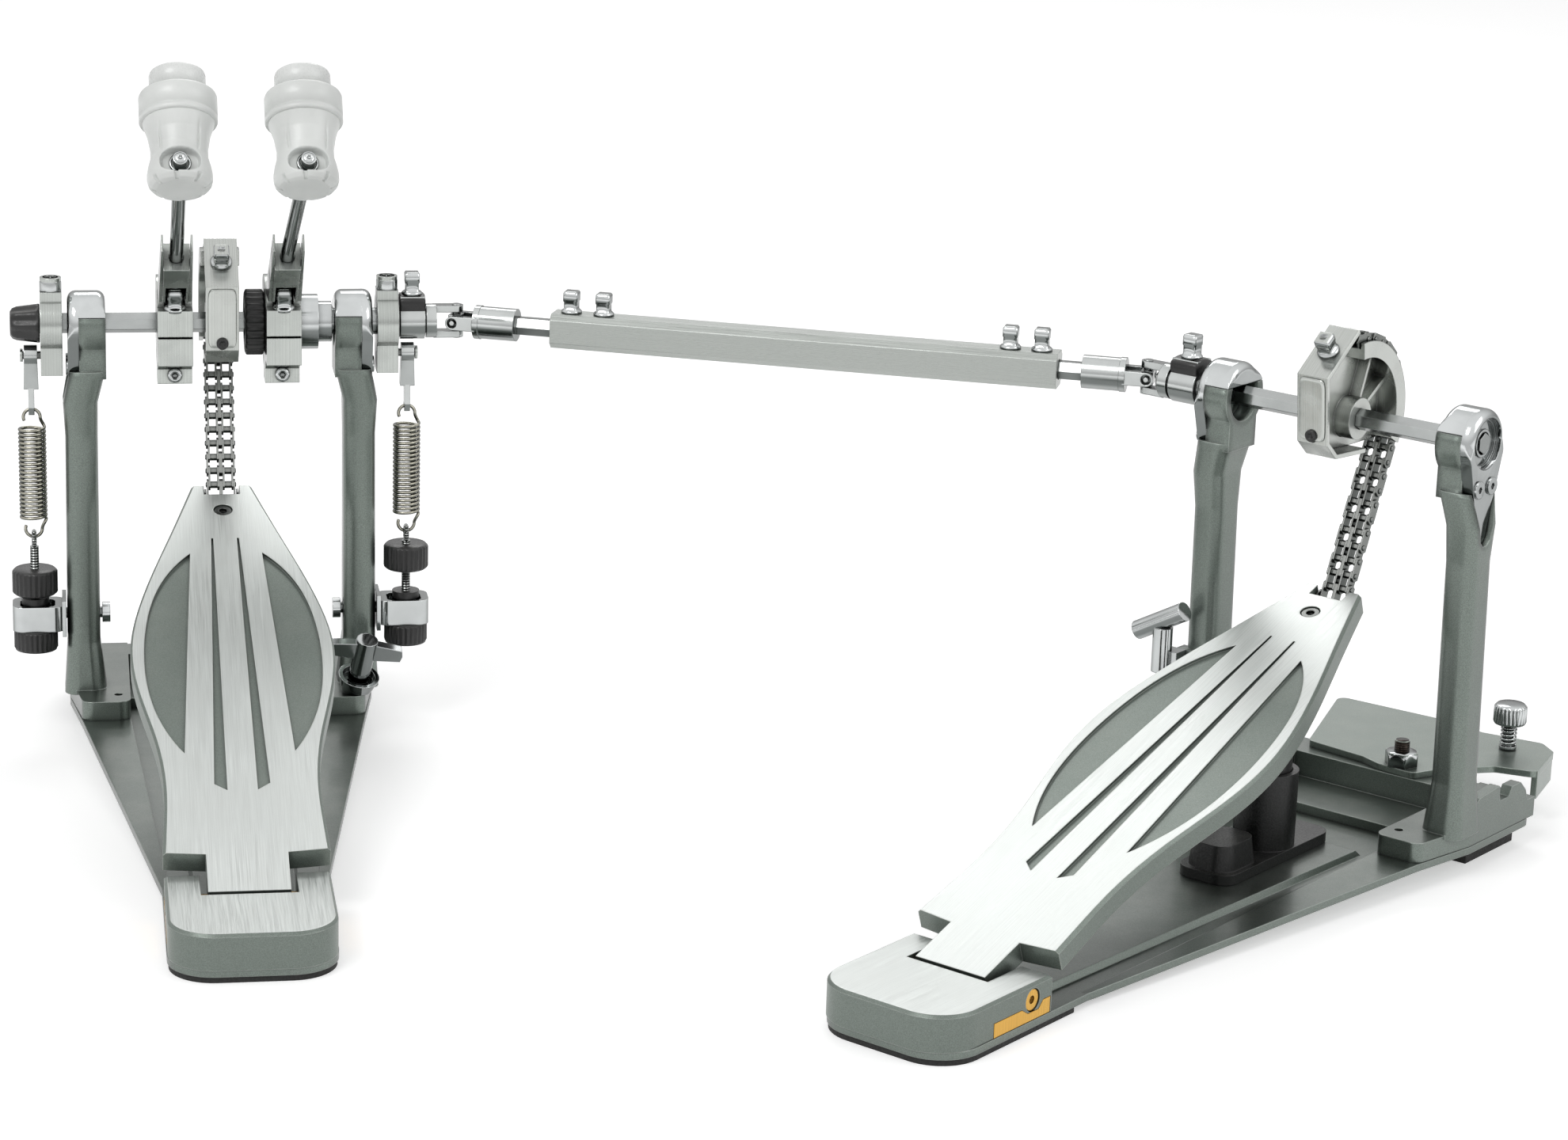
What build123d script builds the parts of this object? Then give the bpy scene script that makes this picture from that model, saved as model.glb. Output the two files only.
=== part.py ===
"""Twin bass drum pedal: a main pedal with two beaters and side springs, a left-foot pedal,
and the telescopic universal-joint shaft between them.  Millimetres, +Z up.

Both pedals are drawn in one pedal frame: origin on the floor under the middle of the shaft,
+X along the shaft, +Y towards the drum.  The left-foot pedal is placed by LEFT_AT.
"""
import os
from math import acos, atan2, cos, degrees, hypot, pi, radians, sin, tan

from build123d import *

os.makedirs("parts", exist_ok=True)

# ---------------------------------------------------------------- driving sizes
AXIS_Z = 191.2            # shaft axis above the floor
LEFT_X, LEFT_Y, LEFT_TURN = 463.5, -197.0, -48.38
SOLE_T, PLATE_T = 2.5, 3.0
REAR_Y, LEDGE_Y, TAPER_Y, HEEL_Y = 66.0, -25.0, -225.0, -316.0
SOLE_Y = -30.0              # front edge of the pad under the casting
WAIST_Y = 10.0              # where the base starts to taper to the heel
BASE_HALF, HEEL_HALF = 69.0, 33.5
LEDGE_HALF = HEEL_HALF + (BASE_HALF - HEEL_HALF) * (LEDGE_Y - TAPER_Y) / (WAIST_Y - TAPER_Y) - 0.4
LEDGE_IN, LEDGE_TOP = 42.0, 21.6
WING_TOP, WING_T = 12.8, 3.2  # raised sides of the base plate beside and in front of the ledges
PAN_REAR, PAN_HEEL = 42.0, 30.5  # half width of the base plate's flat middle
RIB_H, RIB_REAR, RIB_HEEL = 2.4, 30.0, 21.0
POST_X, POST_W, POST_D = 62.4, 14.8, 19.5
HOUSE_IN, HOUSE_OUT, HOUSE_R = 50.7, 67.5, 14.6
CHROME_T = 5.0            # thickness of the bright bearing plate on the post's outer face
BEAR_OD, BEAR_W = 22.0, 7.0
SHAFT_AF, SLEEVE_D, JOURNAL_D = 8.0, 12.0, 6.6
HINGE_Y, HINGE_Z, HINGE_D = -262.0, 13.8, 6.0
HEEL_FRONT, HEEL_TOP, NOTCH_HALF, NOTCH_Y = -249.5, 20.5, 19.3, -272.6
BOARD_Y, BOARD_Z, BOARD_TILT, BOARD_T = -270.7, 21.0, 19.3, 9.0
BOARD_EDGE = [(25.3, 33.6), (45, 32.6), (70, 32.0), (100, 34.9), (130, 40.6), (150, 43.1),
              (168, 43.1), (198, 38.3), (222, 32.1), (246, 25.0), (270, 18.1), (286, 13.6)]
TONGUE_HALF, TONGUE_S = 16.4, 23.6
WHEEL_R, CHAIN_PITCHES, WRAP_LINKS = 34.0, 14, 9
TOE_Y, TOE_Z = 0.8, 109.1  # chain pivot under the toe
LINK_H, WHEEL_ROOT, FLANGE_R = 2.6, 31.0, 33.6
LEAN = 53.0               # beaters at rest, back from upright
HUB_W, HUB_R, ROD_D, ROD_LEN, HEAD_U = 15.4, 21.5, 6.0, 163.0, 151.0
HUB_X, HUB2_X = -20.5, 27.2
SPRING_X, SPRING_R, WIRE_D, TURNS = 83.8, 5.55, 1.5, 22
COIL_TOP, COIL_BOT, HOOK_R = 143.6, 101.2, 3.7
PIN_DROP = 14.5           # spring pin below the shaft axis
JOINT_X, LEFT_JOINT_X = 106.0, -100.5
TUBE_W, ROD_AF = 15.6, 7.6
# ---------------------------------------------------------------- named clearances
RUN, FIT, SIDE = 0.15, 0.1, 0.3

LEFT_AT = Location((LEFT_X, LEFT_Y, 0), (0, 0, LEFT_TURN))
MAIN_AT = Location((0, 0, 0))
FLOOR_TOP = SOLE_T + PLATE_T
AX = Plane(origin=(0, 0, AXIS_Z), x_dir=(0, 1, 0), z_dir=(1, 0, 0))   # (y, z) seen along +X
BOARD = Plane(origin=(0, BOARD_Y, BOARD_Z), x_dir=(1, 0, 0),
              z_dir=(0, -sin(radians(BOARD_TILT)), cos(radians(BOARD_TILT))))
LEAN_R = radians(LEAN)
ROD_DIR = Vector(0, -sin(LEAN_R), cos(LEAN_R))
FACE_DIR = Vector(0, cos(LEAN_R), sin(LEAN_R))


def side_plane(x):
    """(y, z - axis) plane at a station x."""
    return Plane(origin=(x, 0, AXIS_Z), x_dir=(0, 1, 0), z_dir=(1, 0, 0))


def save(part, name, at=None):
    """Writes one node, placed with its pedal."""
    with BuildPart() as placed:
        with Locations(at or MAIN_AT):
            add(part)
    placed.part.label = name
    export_step(placed.part, f"parts/{name}.step")


def base_outline(inset=0.0):
    """Base seen from above, tapered to the heel."""
    with BuildSketch() as sk:
        with BuildLine():
            Polyline((-BASE_HALF, REAR_Y), (-BASE_HALF, WAIST_Y), (-HEEL_HALF, TAPER_Y),
                     (-HEEL_HALF, HEEL_Y), (HEEL_HALF, HEEL_Y), (HEEL_HALF, TAPER_Y),
                     (BASE_HALF, WAIST_Y), (BASE_HALF, REAR_Y), close=True)
        make_face()
        fillet(sk.vertices().filter_by(lambda v: v.Y < HEEL_Y + 1), radius=19)
        fillet(sk.vertices().filter_by(lambda v: v.Y > REAR_Y - 1), radius=8)
        if inset:
            offset(amount=-inset, kind=Kind.INTERSECTION, mode=Mode.REPLACE)
    return sk.sketch


# post sections: height, centre x and y, width, depth, corner radius
POST_CUTS = ((LEDGE_TOP - 2, POST_X - 0.6, 4.5, POST_W + 4.2, POST_D + 5, 6.5),
             (LEDGE_TOP + 22, POST_X, 3.6, POST_W, POST_D, 5.2),
             (AXIS_Z - 51, POST_X - 0.4, 0.9, POST_W - 0.4, POST_D - 0.6, 5.0),
             (AXIS_Z - 35, POST_X - 0.1, 0.3, POST_W + 0.6, POST_D + 2, 5.0),
             (AXIS_Z - 20, POST_X - 3.2, 0, POST_W + 1.7, POST_D + 5, 5.0))


SEAT = [(k, y, z) for k in (1, -1) for y, z in
        ((15.0, 20.0), (15.0, -6.0), (12.6, -9.0), (3.9, -41.0), (1.5, -43.2))[::k]]


# ================================================================ base of one pedal
def make_sole():
    """Rubber sole: a pad below the casting with a block under each raised side, a heel pad."""
    block = WING_TOP - WING_T
    with BuildPart() as sole:
        for x, y0, y1, inset in ((41, SOLE_Y, 22, 1.0), (61, 22, REAR_Y - 3, 1.0),
                                 (100, HEEL_Y, TAPER_Y - 8, 0.6)):
            with BuildSketch():
                add(base_outline(inset))
                with Locations((0, (y0 + y1) / 2)):
                    Rectangle(2 * x, y1 - y0, mode=Mode.INTERSECT)
            extrude(amount=SOLE_T)
        for s in (-1, 1):
            with Locations((s * 53.2, (22 + REAR_Y - 3) / 2, block / 2)):
                Box(15.6, REAR_Y - 3 - 22, block)
    return sole.part


def pan_outline(grow=0.0):
    """Flat middle of the base plate, widened from the heel to the casting."""
    with BuildSketch() as sk:
        with BuildLine():
            Polyline(*[(s * (w + grow), y) for s, w, y in
                       ((-1, PAN_HEEL, TAPER_Y), (-1, PAN_REAR, LEDGE_Y), (-1, PAN_REAR, 90),
                        (1, PAN_REAR, 90), (1, PAN_REAR, LEDGE_Y), (1, PAN_HEEL, TAPER_Y))],
                     close=True)
        make_face()
    return sk.sketch


def make_plate():
    """Pressed steel base: flat middle with a tapered rib, sides that rise to the casting."""
    rise = [(TAPER_Y - 1, FLOOR_TOP), (LEDGE_Y, WING_TOP), (90, WING_TOP)]
    with BuildPart() as side:
        with BuildSketch():
            add(base_outline())
            with Locations((0, TAPER_Y - 200)):
                Rectangle(400, 400, mode=Mode.SUBTRACT)
            add(pan_outline(), mode=Mode.SUBTRACT)
        extrude(amount=40)
        with BuildSketch(Plane(origin=(-100, 0, 0), x_dir=(0, 1, 0), z_dir=(1, 0, 0))):
            with BuildLine():
                Polyline((TAPER_Y - 1, SOLE_T), *rise, (90, SOLE_T), close=True)
            make_face()
        extrude(amount=200, mode=Mode.INTERSECT)
    with BuildPart() as hollow:
        with BuildSketch():
            with Locations((0, (TAPER_Y + 90) / 2)):
                Rectangle(400, 90 - TAPER_Y + 20)
            add(pan_outline(WING_T), mode=Mode.SUBTRACT)
        extrude(amount=40)
        with BuildSketch(Plane(origin=(-100, 0, 0), x_dir=(0, 1, 0), z_dir=(1, 0, 0))):
            with BuildLine():
                Polyline((TAPER_Y + 20, 0), *[(y, z - WING_T) for y, z in rise], (95, WING_TOP
                         - WING_T), (95, 0), close=True)
            make_face()
        extrude(amount=200, mode=Mode.INTERSECT)
    with BuildPart() as plate:
        with BuildSketch(Plane.XY.offset(SOLE_T)):
            add(base_outline())
            with BuildSketch(mode=Mode.INTERSECT):
                add(pan_outline(0.01))
                with Locations((0, TAPER_Y - 200)):
                    Rectangle(400, 400)
        extrude(amount=PLATE_T)
        add(side.part)
        add(hollow.part, mode=Mode.SUBTRACT)
        with BuildSketch(Plane.XY.offset(FLOOR_TOP)):
            with BuildLine():
                Polyline((-RIB_HEEL, -244), (RIB_HEEL, -244), (RIB_REAR, -14), (-RIB_REAR, -14),
                         close=True)
            make_face()
        extrude(amount=RIB_H, taper=35)
    return plate.part


def make_casting(main):
    """Cross casting: two ledges, rear deck and both posts, with the bearing seats."""
    eye_z = 55.6
    with BuildPart() as cast:
        for s in (-1, 1):
            with BuildSketch(Plane.XY.offset(WING_TOP)) as foot:
                with BuildLine():
                    Polyline((s * LEDGE_IN, LEDGE_Y), (s * LEDGE_HALF, LEDGE_Y),
                             (s * (BASE_HALF - 0.2), WAIST_Y), (s * (BASE_HALF - 0.2), REAR_Y),
                             (s * LEDGE_IN, REAR_Y), close=True)
                make_face()
                fillet(foot.vertices().filter_by(lambda v: v.Y < LEDGE_Y + 1), radius=5)
            extrude(amount=LEDGE_TOP - WING_TOP)
            # gusset wall along the outer edge, with a notch behind the post
            with BuildSketch(Plane(origin=(s * (BASE_HALF - 5.2), 0, 0), x_dir=(0, 1, 0),
                                   z_dir=(1, 0, 0))):
                with BuildLine():
                    Polyline((-6, LEDGE_TOP - 1), (-4, LEDGE_TOP + 0.6), (16, 33.0), (33, 34.5),
                             (34, 27.5), (42, 27.5), (44.5, 31.5), (52, 31.5), (57, 27),
                             (60, LEDGE_TOP - 1), close=True)
                make_face()
            extrude(amount=s * 5.0)
        with BuildSketch(Plane.XY.offset(FLOOR_TOP)):
            with Locations((0, (REAR_Y - 2 + 16) / 2)):
                Rectangle(2 * LEDGE_IN - 0.2, REAR_Y - 2 - 16)
        extrude(amount=4.5)
        for z, wide in ((FLOOR_TOP, 2 * LEDGE_IN - 0.2), (WING_TOP, 2 * LEDGE_IN + 4)):
            with BuildSketch(Plane.XY.offset(z)):
                with Locations((0, REAR_Y - 10)):
                    Rectangle(wide, 16)
            extrude(amount=LEDGE_TOP - z)
        for s in (-1, 1):
            # post: flared foot, stem, and a shoulder that carries it in to the housing
            for low, high in zip(POST_CUTS, POST_CUTS[1:]):
                for z, x, y, w, d, r in (low, high):
                    with BuildSketch(Plane.XY.offset(z)):
                        with Locations((s * x, y)):
                            RectangleRounded(w, d, r)
                loft()
            inner = s * (HOUSE_IN if s > 0 else HOUSE_OUT - CHROME_T)
            with BuildSketch(side_plane(inner)):
                Circle(HOUSE_R)
                with Locations((0, -14)):
                    Rectangle(21, 19)
                with Locations((0, 24.8)):
                    Rectangle(40, 40, mode=Mode.SUBTRACT)
            extrude(amount=HOUSE_OUT - CHROME_T - HOUSE_IN)
            # the bright plate's seat, sunk into the post below it, and the bearing bore
            with BuildSketch(side_plane(s * (HOUSE_OUT - CHROME_T))):
                with BuildLine():
                    Polyline(*[(k * y, z) for k, y, z in SEAT], close=True)
                make_face()
            extrude(amount=s * 12, mode=Mode.SUBTRACT)
            with Locations(Location((s * (HOUSE_IN + 6), 0, AXIS_Z), (0, 90, 0))):
                Cylinder(BEAR_OD / 2 + 0.05, 30, mode=Mode.SUBTRACT)
            if main:
                with Locations(Location((s * POST_X, 3.6, eye_z), (0, 90, 0))):
                    Cylinder(2.8, 30, mode=Mode.SUBTRACT)
        if not main:
            with Locations((*STUD, LEDGE_TOP)):
                Cylinder(3.2 + RUN, 40, mode=Mode.SUBTRACT)
            with Locations((-67.0, -5.5, 71.0)):   # pad for the key's clip
                Box(10.0, 6.0, 9.0)
        # a small tapped hole in each ledge
        with Locations(*[(s * 47.5, -14, LEDGE_TOP) for s in (-1, 1)]):
            Cylinder(1.9, 9, mode=Mode.SUBTRACT)
    return cast.part


def make_bearings(bores):
    """Bright bearing plates on the posts, each with its race; bores = (left, right)."""
    x0 = HOUSE_OUT - CHROME_T + 0.02
    face = HOUSE_OUT - 2.2
    t = radians(28)
    a = (HOUSE_R * cos(t), -HOUSE_R * sin(t))
    b = (-a[0], a[1])
    with BuildPart() as bear:
        # drop-shaped plates on both posts' outer faces
        for start in (x0, -HOUSE_OUT):
            with BuildSketch(side_plane(start)):
                with BuildLine():
                    Line(a, (3.2, -40.5))
                    ThreePointArc((3.2, -40.5), (0, -42.4), (-3.2, -40.5))
                    Line((-3.2, -40.5), b)
                    ThreePointArc(b, (0, HOUSE_R), a)
                make_face()
            extrude(amount=HOUSE_OUT - x0)
        # caps over the posts' tops
        for start in (HOUSE_IN, -x0):
            with BuildSketch(side_plane(start)):
                Circle(HOUSE_R - 0.02)
                with Locations((0, -20 + 5.1)):
                    Rectangle(40, 40, mode=Mode.SUBTRACT)
            extrude(amount=x0 - HOUSE_IN)
        # ball races: seated in the post, open to a recess in the plate
        for start in (face - BEAR_W, -x0):
            with BuildSketch(side_plane(start)):
                Circle(BEAR_OD / 2)
            extrude(amount=x0 - face + BEAR_W)
        for s, bore in zip((-1, 1), bores):
            with BuildSketch(side_plane(face if s > 0 else -HOUSE_OUT)):
                Circle(BEAR_OD / 2 - 0.02)
            extrude(amount=HOUSE_OUT - face, mode=Mode.SUBTRACT)
            with BuildSketch(side_plane(face - 0.8 if s > 0 else -face)):
                Circle(BEAR_OD / 2 - 1.4)
                Circle(bore / 2 + 1.2, mode=Mode.SUBTRACT)
            extrude(amount=0.8, mode=Mode.SUBTRACT)
            with BuildSketch(side_plane(HOUSE_IN - 1 if s > 0 else -HOUSE_OUT - 1)):
                Circle(bore / 2)
            extrude(amount=HOUSE_OUT - HOUSE_IN + 2, mode=Mode.SUBTRACT)
            # two screws into the post
            with BuildSketch(side_plane(HOUSE_OUT if s > 0 else -HOUSE_OUT - 0.9)):
                with Locations((-5.2, -18.6), (5.2, -18.6)):
                    Circle(3.7)
                    RegularPolygon(1.5, 6, mode=Mode.SUBTRACT)
            extrude(amount=0.9)
    return bear.part


def make_heel():
    """Heel plate: brushed block with the hinge notch, pin bores and side seats."""
    with BuildPart() as heel:
        with BuildSketch(Plane.XY.offset(FLOOR_TOP)) as sk:
            with Locations((0, (HEEL_Y - 1.0 + HEEL_FRONT) / 2)):
                Rectangle(2 * HEEL_HALF - 0.6, HEEL_FRONT - HEEL_Y + 1.0)
            fillet(sk.vertices().filter_by(lambda v: v.Y < HEEL_Y + 5), radius=19)
        extrude(amount=HEEL_TOP - FLOOR_TOP)
        chamfer(heel.faces().sort_by(Axis.Z)[-1].edges(), length=1.2)
        with BuildSketch(Plane.XY.offset(FLOOR_TOP)):
            with Locations((0, (NOTCH_Y + HEEL_FRONT) / 2 + 5)):
                Rectangle(2 * NOTCH_HALF, HEEL_FRONT - NOTCH_Y + 10)
        extrude(amount=30, mode=Mode.SUBTRACT)
        with Locations(Location((0, HINGE_Y, HINGE_Z), (0, 90, 0))):
            Cylinder(HINGE_D / 2 + FIT, 80, mode=Mode.SUBTRACT)
        for s in (-1, 1):
            with Locations(Location((s * 34, HINGE_Y, HINGE_Z), (0, 90, 0))):
                Cylinder(4.7, 8, mode=Mode.SUBTRACT)
            with BuildSketch(Plane(origin=(s * 31.4, 0, 0), x_dir=(0, 1, 0), z_dir=(1, 0, 0))):
                add(hinge_block(0.25))
            extrude(amount=s * 6, mode=Mode.SUBTRACT)
    return heel.part


def hinge_block(grow=0.0):
    """Side profile (y, z) of the block under the pin's end."""
    with BuildSketch() as sk:
        with BuildLine():
            Polyline((-287 - grow, FLOOR_TOP), (-287 - grow, 11.5 + grow),
                     (HINGE_Y - 7, 11.5 + grow), (HINGE_Y - 3, 9.0 + grow),
                     (HINGE_Y + 4, 9.0 + grow), (HINGE_Y + 7, 12.0 + grow),
                     (HEEL_FRONT - 1 + 2 * grow, 12.0 + grow),
                     (HEEL_FRONT - 1 + 2 * grow, FLOOR_TOP), close=True)
        make_face()
        with Locations((HINGE_Y, HINGE_Z)):
            Circle(4.7 - grow, mode=Mode.SUBTRACT)
    return sk.sketch


def make_hinge():
    """Hinge pin with its two bolt heads and the two end blocks."""
    with BuildPart() as hinge:
        with Locations(Location((0, HINGE_Y, HINGE_Z), (0, 90, 0))):
            Cylinder(HINGE_D / 2, 62)
        for s in (-1, 1):
            with Locations(Location((s * 31.6, HINGE_Y, HINGE_Z), (0, 90, 0))):
                Cylinder(4.3, 2.2)
                with Locations((0, 0, s * 1.1)):
                    Cylinder(1.6, 2.0, mode=Mode.SUBTRACT)
            with BuildSketch(Plane(origin=(s * 31.5, 0, 0.1), x_dir=(0, 1, 0), z_dir=(1, 0, 0))):
                add(hinge_block())
            extrude(amount=s * 1.8)
    return hinge.part


# ================================================================ footboard
def make_board():
    """Footboard: waisted outline, two bowed recesses, two grooves, hollow underside."""
    edge = BOARD_EDGE
    with BuildPart() as board:
        with BuildSketch(BOARD):
            with BuildLine():
                Line((-TONGUE_HALF, 0), (TONGUE_HALF, 0))
                for s in (-1, 1):
                    Polyline((s * TONGUE_HALF, 0), (s * TONGUE_HALF, TONGUE_S),
                             (s * edge[0][1], TONGUE_S + 1.6))
                    Line((s * edge[0][1], TONGUE_S + 1.6), (s * edge[1][1], edge[1][0]))
                    Spline(*[(s * w, y) for y, w in edge[1:]],
                           tangents=[(s * -0.06, 1), (s * -0.28, 1)])
                Line((-edge[-1][1], edge[-1][0]), (edge[-1][1], edge[-1][0]))
            make_face()
        extrude(amount=-BOARD_T)
        top = [f for f in board.faces() if f.normal_at().dot(BOARD.z_dir) > 0.999]
        chamfer([e for e in top[0].edges() if e.length > 200], length=1.4)
        # hollow underside
        with BuildSketch(BOARD.offset(-BOARD_T)):
            with BuildLine():
                Line((-27, 46), (27, 46))
                for s in (-1, 1):
                    Spline((s * 27, 46), (s * 26.5, 72), (s * 30, 100), (s * 37.5, 155),
                           (s * 26.5, 223), (s * 18.0, 250))
                Line((-18.0, 250), (18.0, 250))
            make_face()
        extrude(amount=BOARD_T - 3.4, mode=Mode.SUBTRACT)
        # chain notch between the toe prongs
        with BuildSketch(BOARD):
            with Locations((0, 279 + 10)):
                Rectangle(15.8, 20)
        extrude(amount=-BOARD_T, mode=Mode.SUBTRACT)
        # bowed recesses and the two long grooves
        with BuildSketch(BOARD):
            for s in (-1, 1):
                with BuildLine():
                    Line((s * 22.7, 89.4), (s * 15.8, 233))
                    Spline((s * 15.8, 233), (s * 28.5, 212), (s * 36.4, 178), (s * 37.6, 150),
                           (s * 33.0, 115), (s * 22.7, 89.4))
                make_face()
                with BuildLine():
                    Polyline((s * 6.2, 64.3), (s * 11.4, 68.6), (s * 6.1, 244.5),
                             (s * 5.2, 244.5), close=True)
                make_face()
        extrude(amount=-1.3, mode=Mode.SUBTRACT)
        # toe screw seat
        with Locations(BOARD * Location((0, 266.7, 0))):
            CounterBoreHole(2.7, 4.3, 3.2)
        # hinge knuckle under the tongue
        with Locations(Location((0, HINGE_Y, HINGE_Z), (0, 90, 0))):
            Cylinder(5.6, 2 * TONGUE_HALF - 1)
            Cylinder(HINGE_D / 2 + RUN, 60, mode=Mode.SUBTRACT)
    return board.part


def board_point(s, n):
    """(y, z) of a point s along the board and n above its top face."""
    t = radians(BOARD_TILT)
    return (BOARD_Y + s * cos(t) - n * sin(t), BOARD_Z + s * sin(t) + n * cos(t))


def make_toe():
    """Toe bracket: pad under the board, two thin cheeks beside the chain's end, toe screw."""
    t = radians(BOARD_TILT)
    dy, dz = TOE_Y - BOARD_Y, TOE_Z - BOARD_Z
    cs, cn = dy * cos(t) + dz * sin(t), -dy * sin(t) + dz * cos(t)
    with BuildPart() as toe:
        with BuildSketch(BOARD.offset(-BOARD_T - 0.02)):
            with Locations((0, 266.5)):
                RectangleRounded(22, 20, 3)
        extrude(amount=-2.6)
        for s in (-1, 1):
            cheek = Plane(origin=(s * 6.72, BOARD_Y, BOARD_Z),
                          x_dir=(0, cos(t), sin(t)), z_dir=(1, 0, 0))
            with BuildSketch(cheek):
                with BuildLine():
                    Polyline((258, -BOARD_T - 1), (cs - 5.6, -BOARD_T - 1), (cs - 5.0, cn + 2.5),
                             (cs - 1.5, cn + 4.2), (cs + 2.0, cn + 3.8), (cs + 4.0, cn),
                             (cs + 2.5, cn - 4.0), (cs - 6, cn - 6.8), (258, -BOARD_T - 2.6),
                             close=True)
                make_face()
            extrude(amount=s * 1.0)
        with Locations(BOARD * Location((0, 266.7, -0.5))):
            Cylinder(3.9, 2.6, align=(Align.CENTER, Align.CENTER, Align.MAX))
            Cylinder(2.45, 11, align=(Align.CENTER, Align.CENTER, Align.MAX))
            with Locations((0, 0, 0.01)):
                Cylinder(1.8, 1.6, align=(Align.CENTER, Align.CENTER, Align.MAX),
                         mode=Mode.SUBTRACT)
    return toe.part


# ================================================================ chain
def chain_path():
    """Pin points (y, z) from the toe up the straight run and round the wheel."""
    dy, dz = TOE_Y, TOE_Z - AXIS_Z
    leave = atan2(dz, dy) + acos(WHEEL_R / hypot(dy, dz))     # where the run leaves the wheel
    top = (WHEEL_R * cos(leave), AXIS_Z + WHEEL_R * sin(leave))
    straight = hypot(top[0] - TOE_Y, top[1] - TOE_Z)
    total = straight - leave * WHEEL_R
    pitch = total / CHAIN_PITCHES
    pts = []
    for i in range(CHAIN_PITCHES + WRAP_LINKS + 1):
        d = i * pitch
        if d <= straight:
            f = d / straight
            pts.append((TOE_Y + f * (top[0] - TOE_Y), TOE_Z + f * (top[1] - TOE_Z)))
        else:
            a = leave + (d - straight) / WHEEL_R
            pts.append((WHEEL_R * cos(a), AXIS_Z + WHEEL_R * sin(a)))
    return pts, pitch


CHAIN_PTS, PITCH = chain_path()
OUT_PLATES = ((-6.35, -5.65), (-0.75, 0.75), (5.65, 6.35))
IN_PLATES = ((-5.55, -4.75), (-1.65, -0.85), (0.85, 1.65), (4.75, 5.55))
ROLLERS = ((-4.75, -1.65), (1.65, 4.75))


def make_chain(first, last, with_end_pin):
    """Double roller chain links first..last-1; even links are pin links, odd are roller links."""
    def link_plane(i, x):
        (y0, z0), (y1, z1) = CHAIN_PTS[i], CHAIN_PTS[i + 1]
        return Plane(origin=(x, y0, z0), x_dir=(0, y1 - y0, z1 - z0), z_dir=(1, 0, 0))

    spans = [hypot(b[0] - a[0], b[1] - a[1]) for a, b in zip(CHAIN_PTS, CHAIN_PTS[1:])]
    h = LINK_H
    with BuildPart() as chain:
        # plates of one thickness are drawn together and extruded once
        for parity, plates in ((0, OUT_PLATES[::2]), (0, OUT_PLATES[1:2]), (1, IN_PLATES)):
            for i in range(first, last):
                if i % 2 != parity:
                    continue
                for x0, x1 in plates:
                    with BuildSketch(link_plane(i, x0)):
                        with BuildLine():
                            Polyline((-h, 0), (-h / 2, h), (spans[i] + h / 2, h),
                                     (spans[i] + h, 0), (spans[i] + h / 2, -h), (-h / 2, -h),
                                     close=True)
                        make_face()
            extrude(amount=plates[0][1] - plates[0][0])
        for i in range(first, last):
            if i % 2 == 0:
                continue
            for x0, x1 in ROLLERS:
                with BuildSketch(link_plane(i, x0)):
                    with Locations((0, 0), (spans[i], 0)):
                        RegularPolygon(1.6, 6)
        extrude(amount=ROLLERS[0][1] - ROLLERS[0][0])
        if with_end_pin:
            with BuildSketch(Plane(origin=(-6.35, TOE_Y, TOE_Z), x_dir=(0, 1, 0),
                                   z_dir=(1, 0, 0))):
                RegularPolygon(1.2, 8)
            extrude(amount=12.7)
    return chain.part


# ================================================================ wheel and shaft
COVER = [(-7.0, 39.5), (-30.5, 22.5), (-27.0, -7.0), (-19.0, -14.0), (5.0, -15.5)]
COVER_T = 1.9


def offset_poly(pts, d):
    """Polyline shifted sideways by d to its right-hand side, corners mitred."""
    out = []
    for i, p in enumerate(pts):
        a = pts[max(i - 1, 0)]
        c = pts[min(i + 1, len(pts) - 1)]
        n = []
        for q0, q1 in ((a, p), (p, c)):
            length = hypot(q1[0] - q0[0], q1[1] - q0[1])
            if length > 1e-6:
                n.append(((q1[1] - q0[1]) / length, -(q1[0] - q0[0]) / length))
        mx, my = sum(k[0] for k in n) / len(n), sum(k[1] for k in n) / len(n)
        k = d / (mx * n[0][0] + my * n[0][1])
        out.append((p[0] + mx * k, p[1] + my * k))
    return out


def make_wheel():
    """Chain wheel: rim with two flanges, web, hub and spokes, open at the cover side."""
    inner = offset_poly(COVER, -COVER_T - 0.02)
    with BuildPart() as wheel:
        for x0, x1, r_out in ((-6.7, 6.7, WHEEL_ROOT), (-8.6, -6.7, FLANGE_R), (6.7, 8.6, FLANGE_R)):
            with BuildSketch(side_plane(x0)):
                Circle(r_out)
                Circle(26.5, mode=Mode.SUBTRACT)
                with BuildLine():
                    Polyline((0, 0), *[(60 * cos(radians(a)), 60 * sin(radians(a)))
                                       for a in (-27, -10, 45, 97)], close=True)
                make_face(mode=Mode.INTERSECT)
            extrude(amount=x1 - x0)
        # web behind the spokes, carried out to the cover
        with BuildSketch(side_plane(-4.0)):
            with BuildLine():
                Polyline(*inner, (27.2, -13.9), (28.6, 0), (20.2, 20.2), (0, 28.6), close=True)
            make_face()
        extrude(amount=3.0)
        with BuildSketch(side_plane(-6.5)):
            Circle(9.0)
        extrude(amount=13)
        with BuildSketch(side_plane(-1.0)):
            for a in (-8, 30, 68):
                with Locations((17.5 * cos(radians(a)), 17.5 * sin(radians(a)))):
                    Rectangle(19, 1.7, rotation=a)
        extrude(amount=5)
        with BuildSketch(side_plane(-10)):
            RegularPolygon(SHAFT_AF / 2 + FIT, 6, major_radius=False, rotation=30)
        extrude(amount=20, mode=Mode.SUBTRACT)
    return wheel.part


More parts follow.
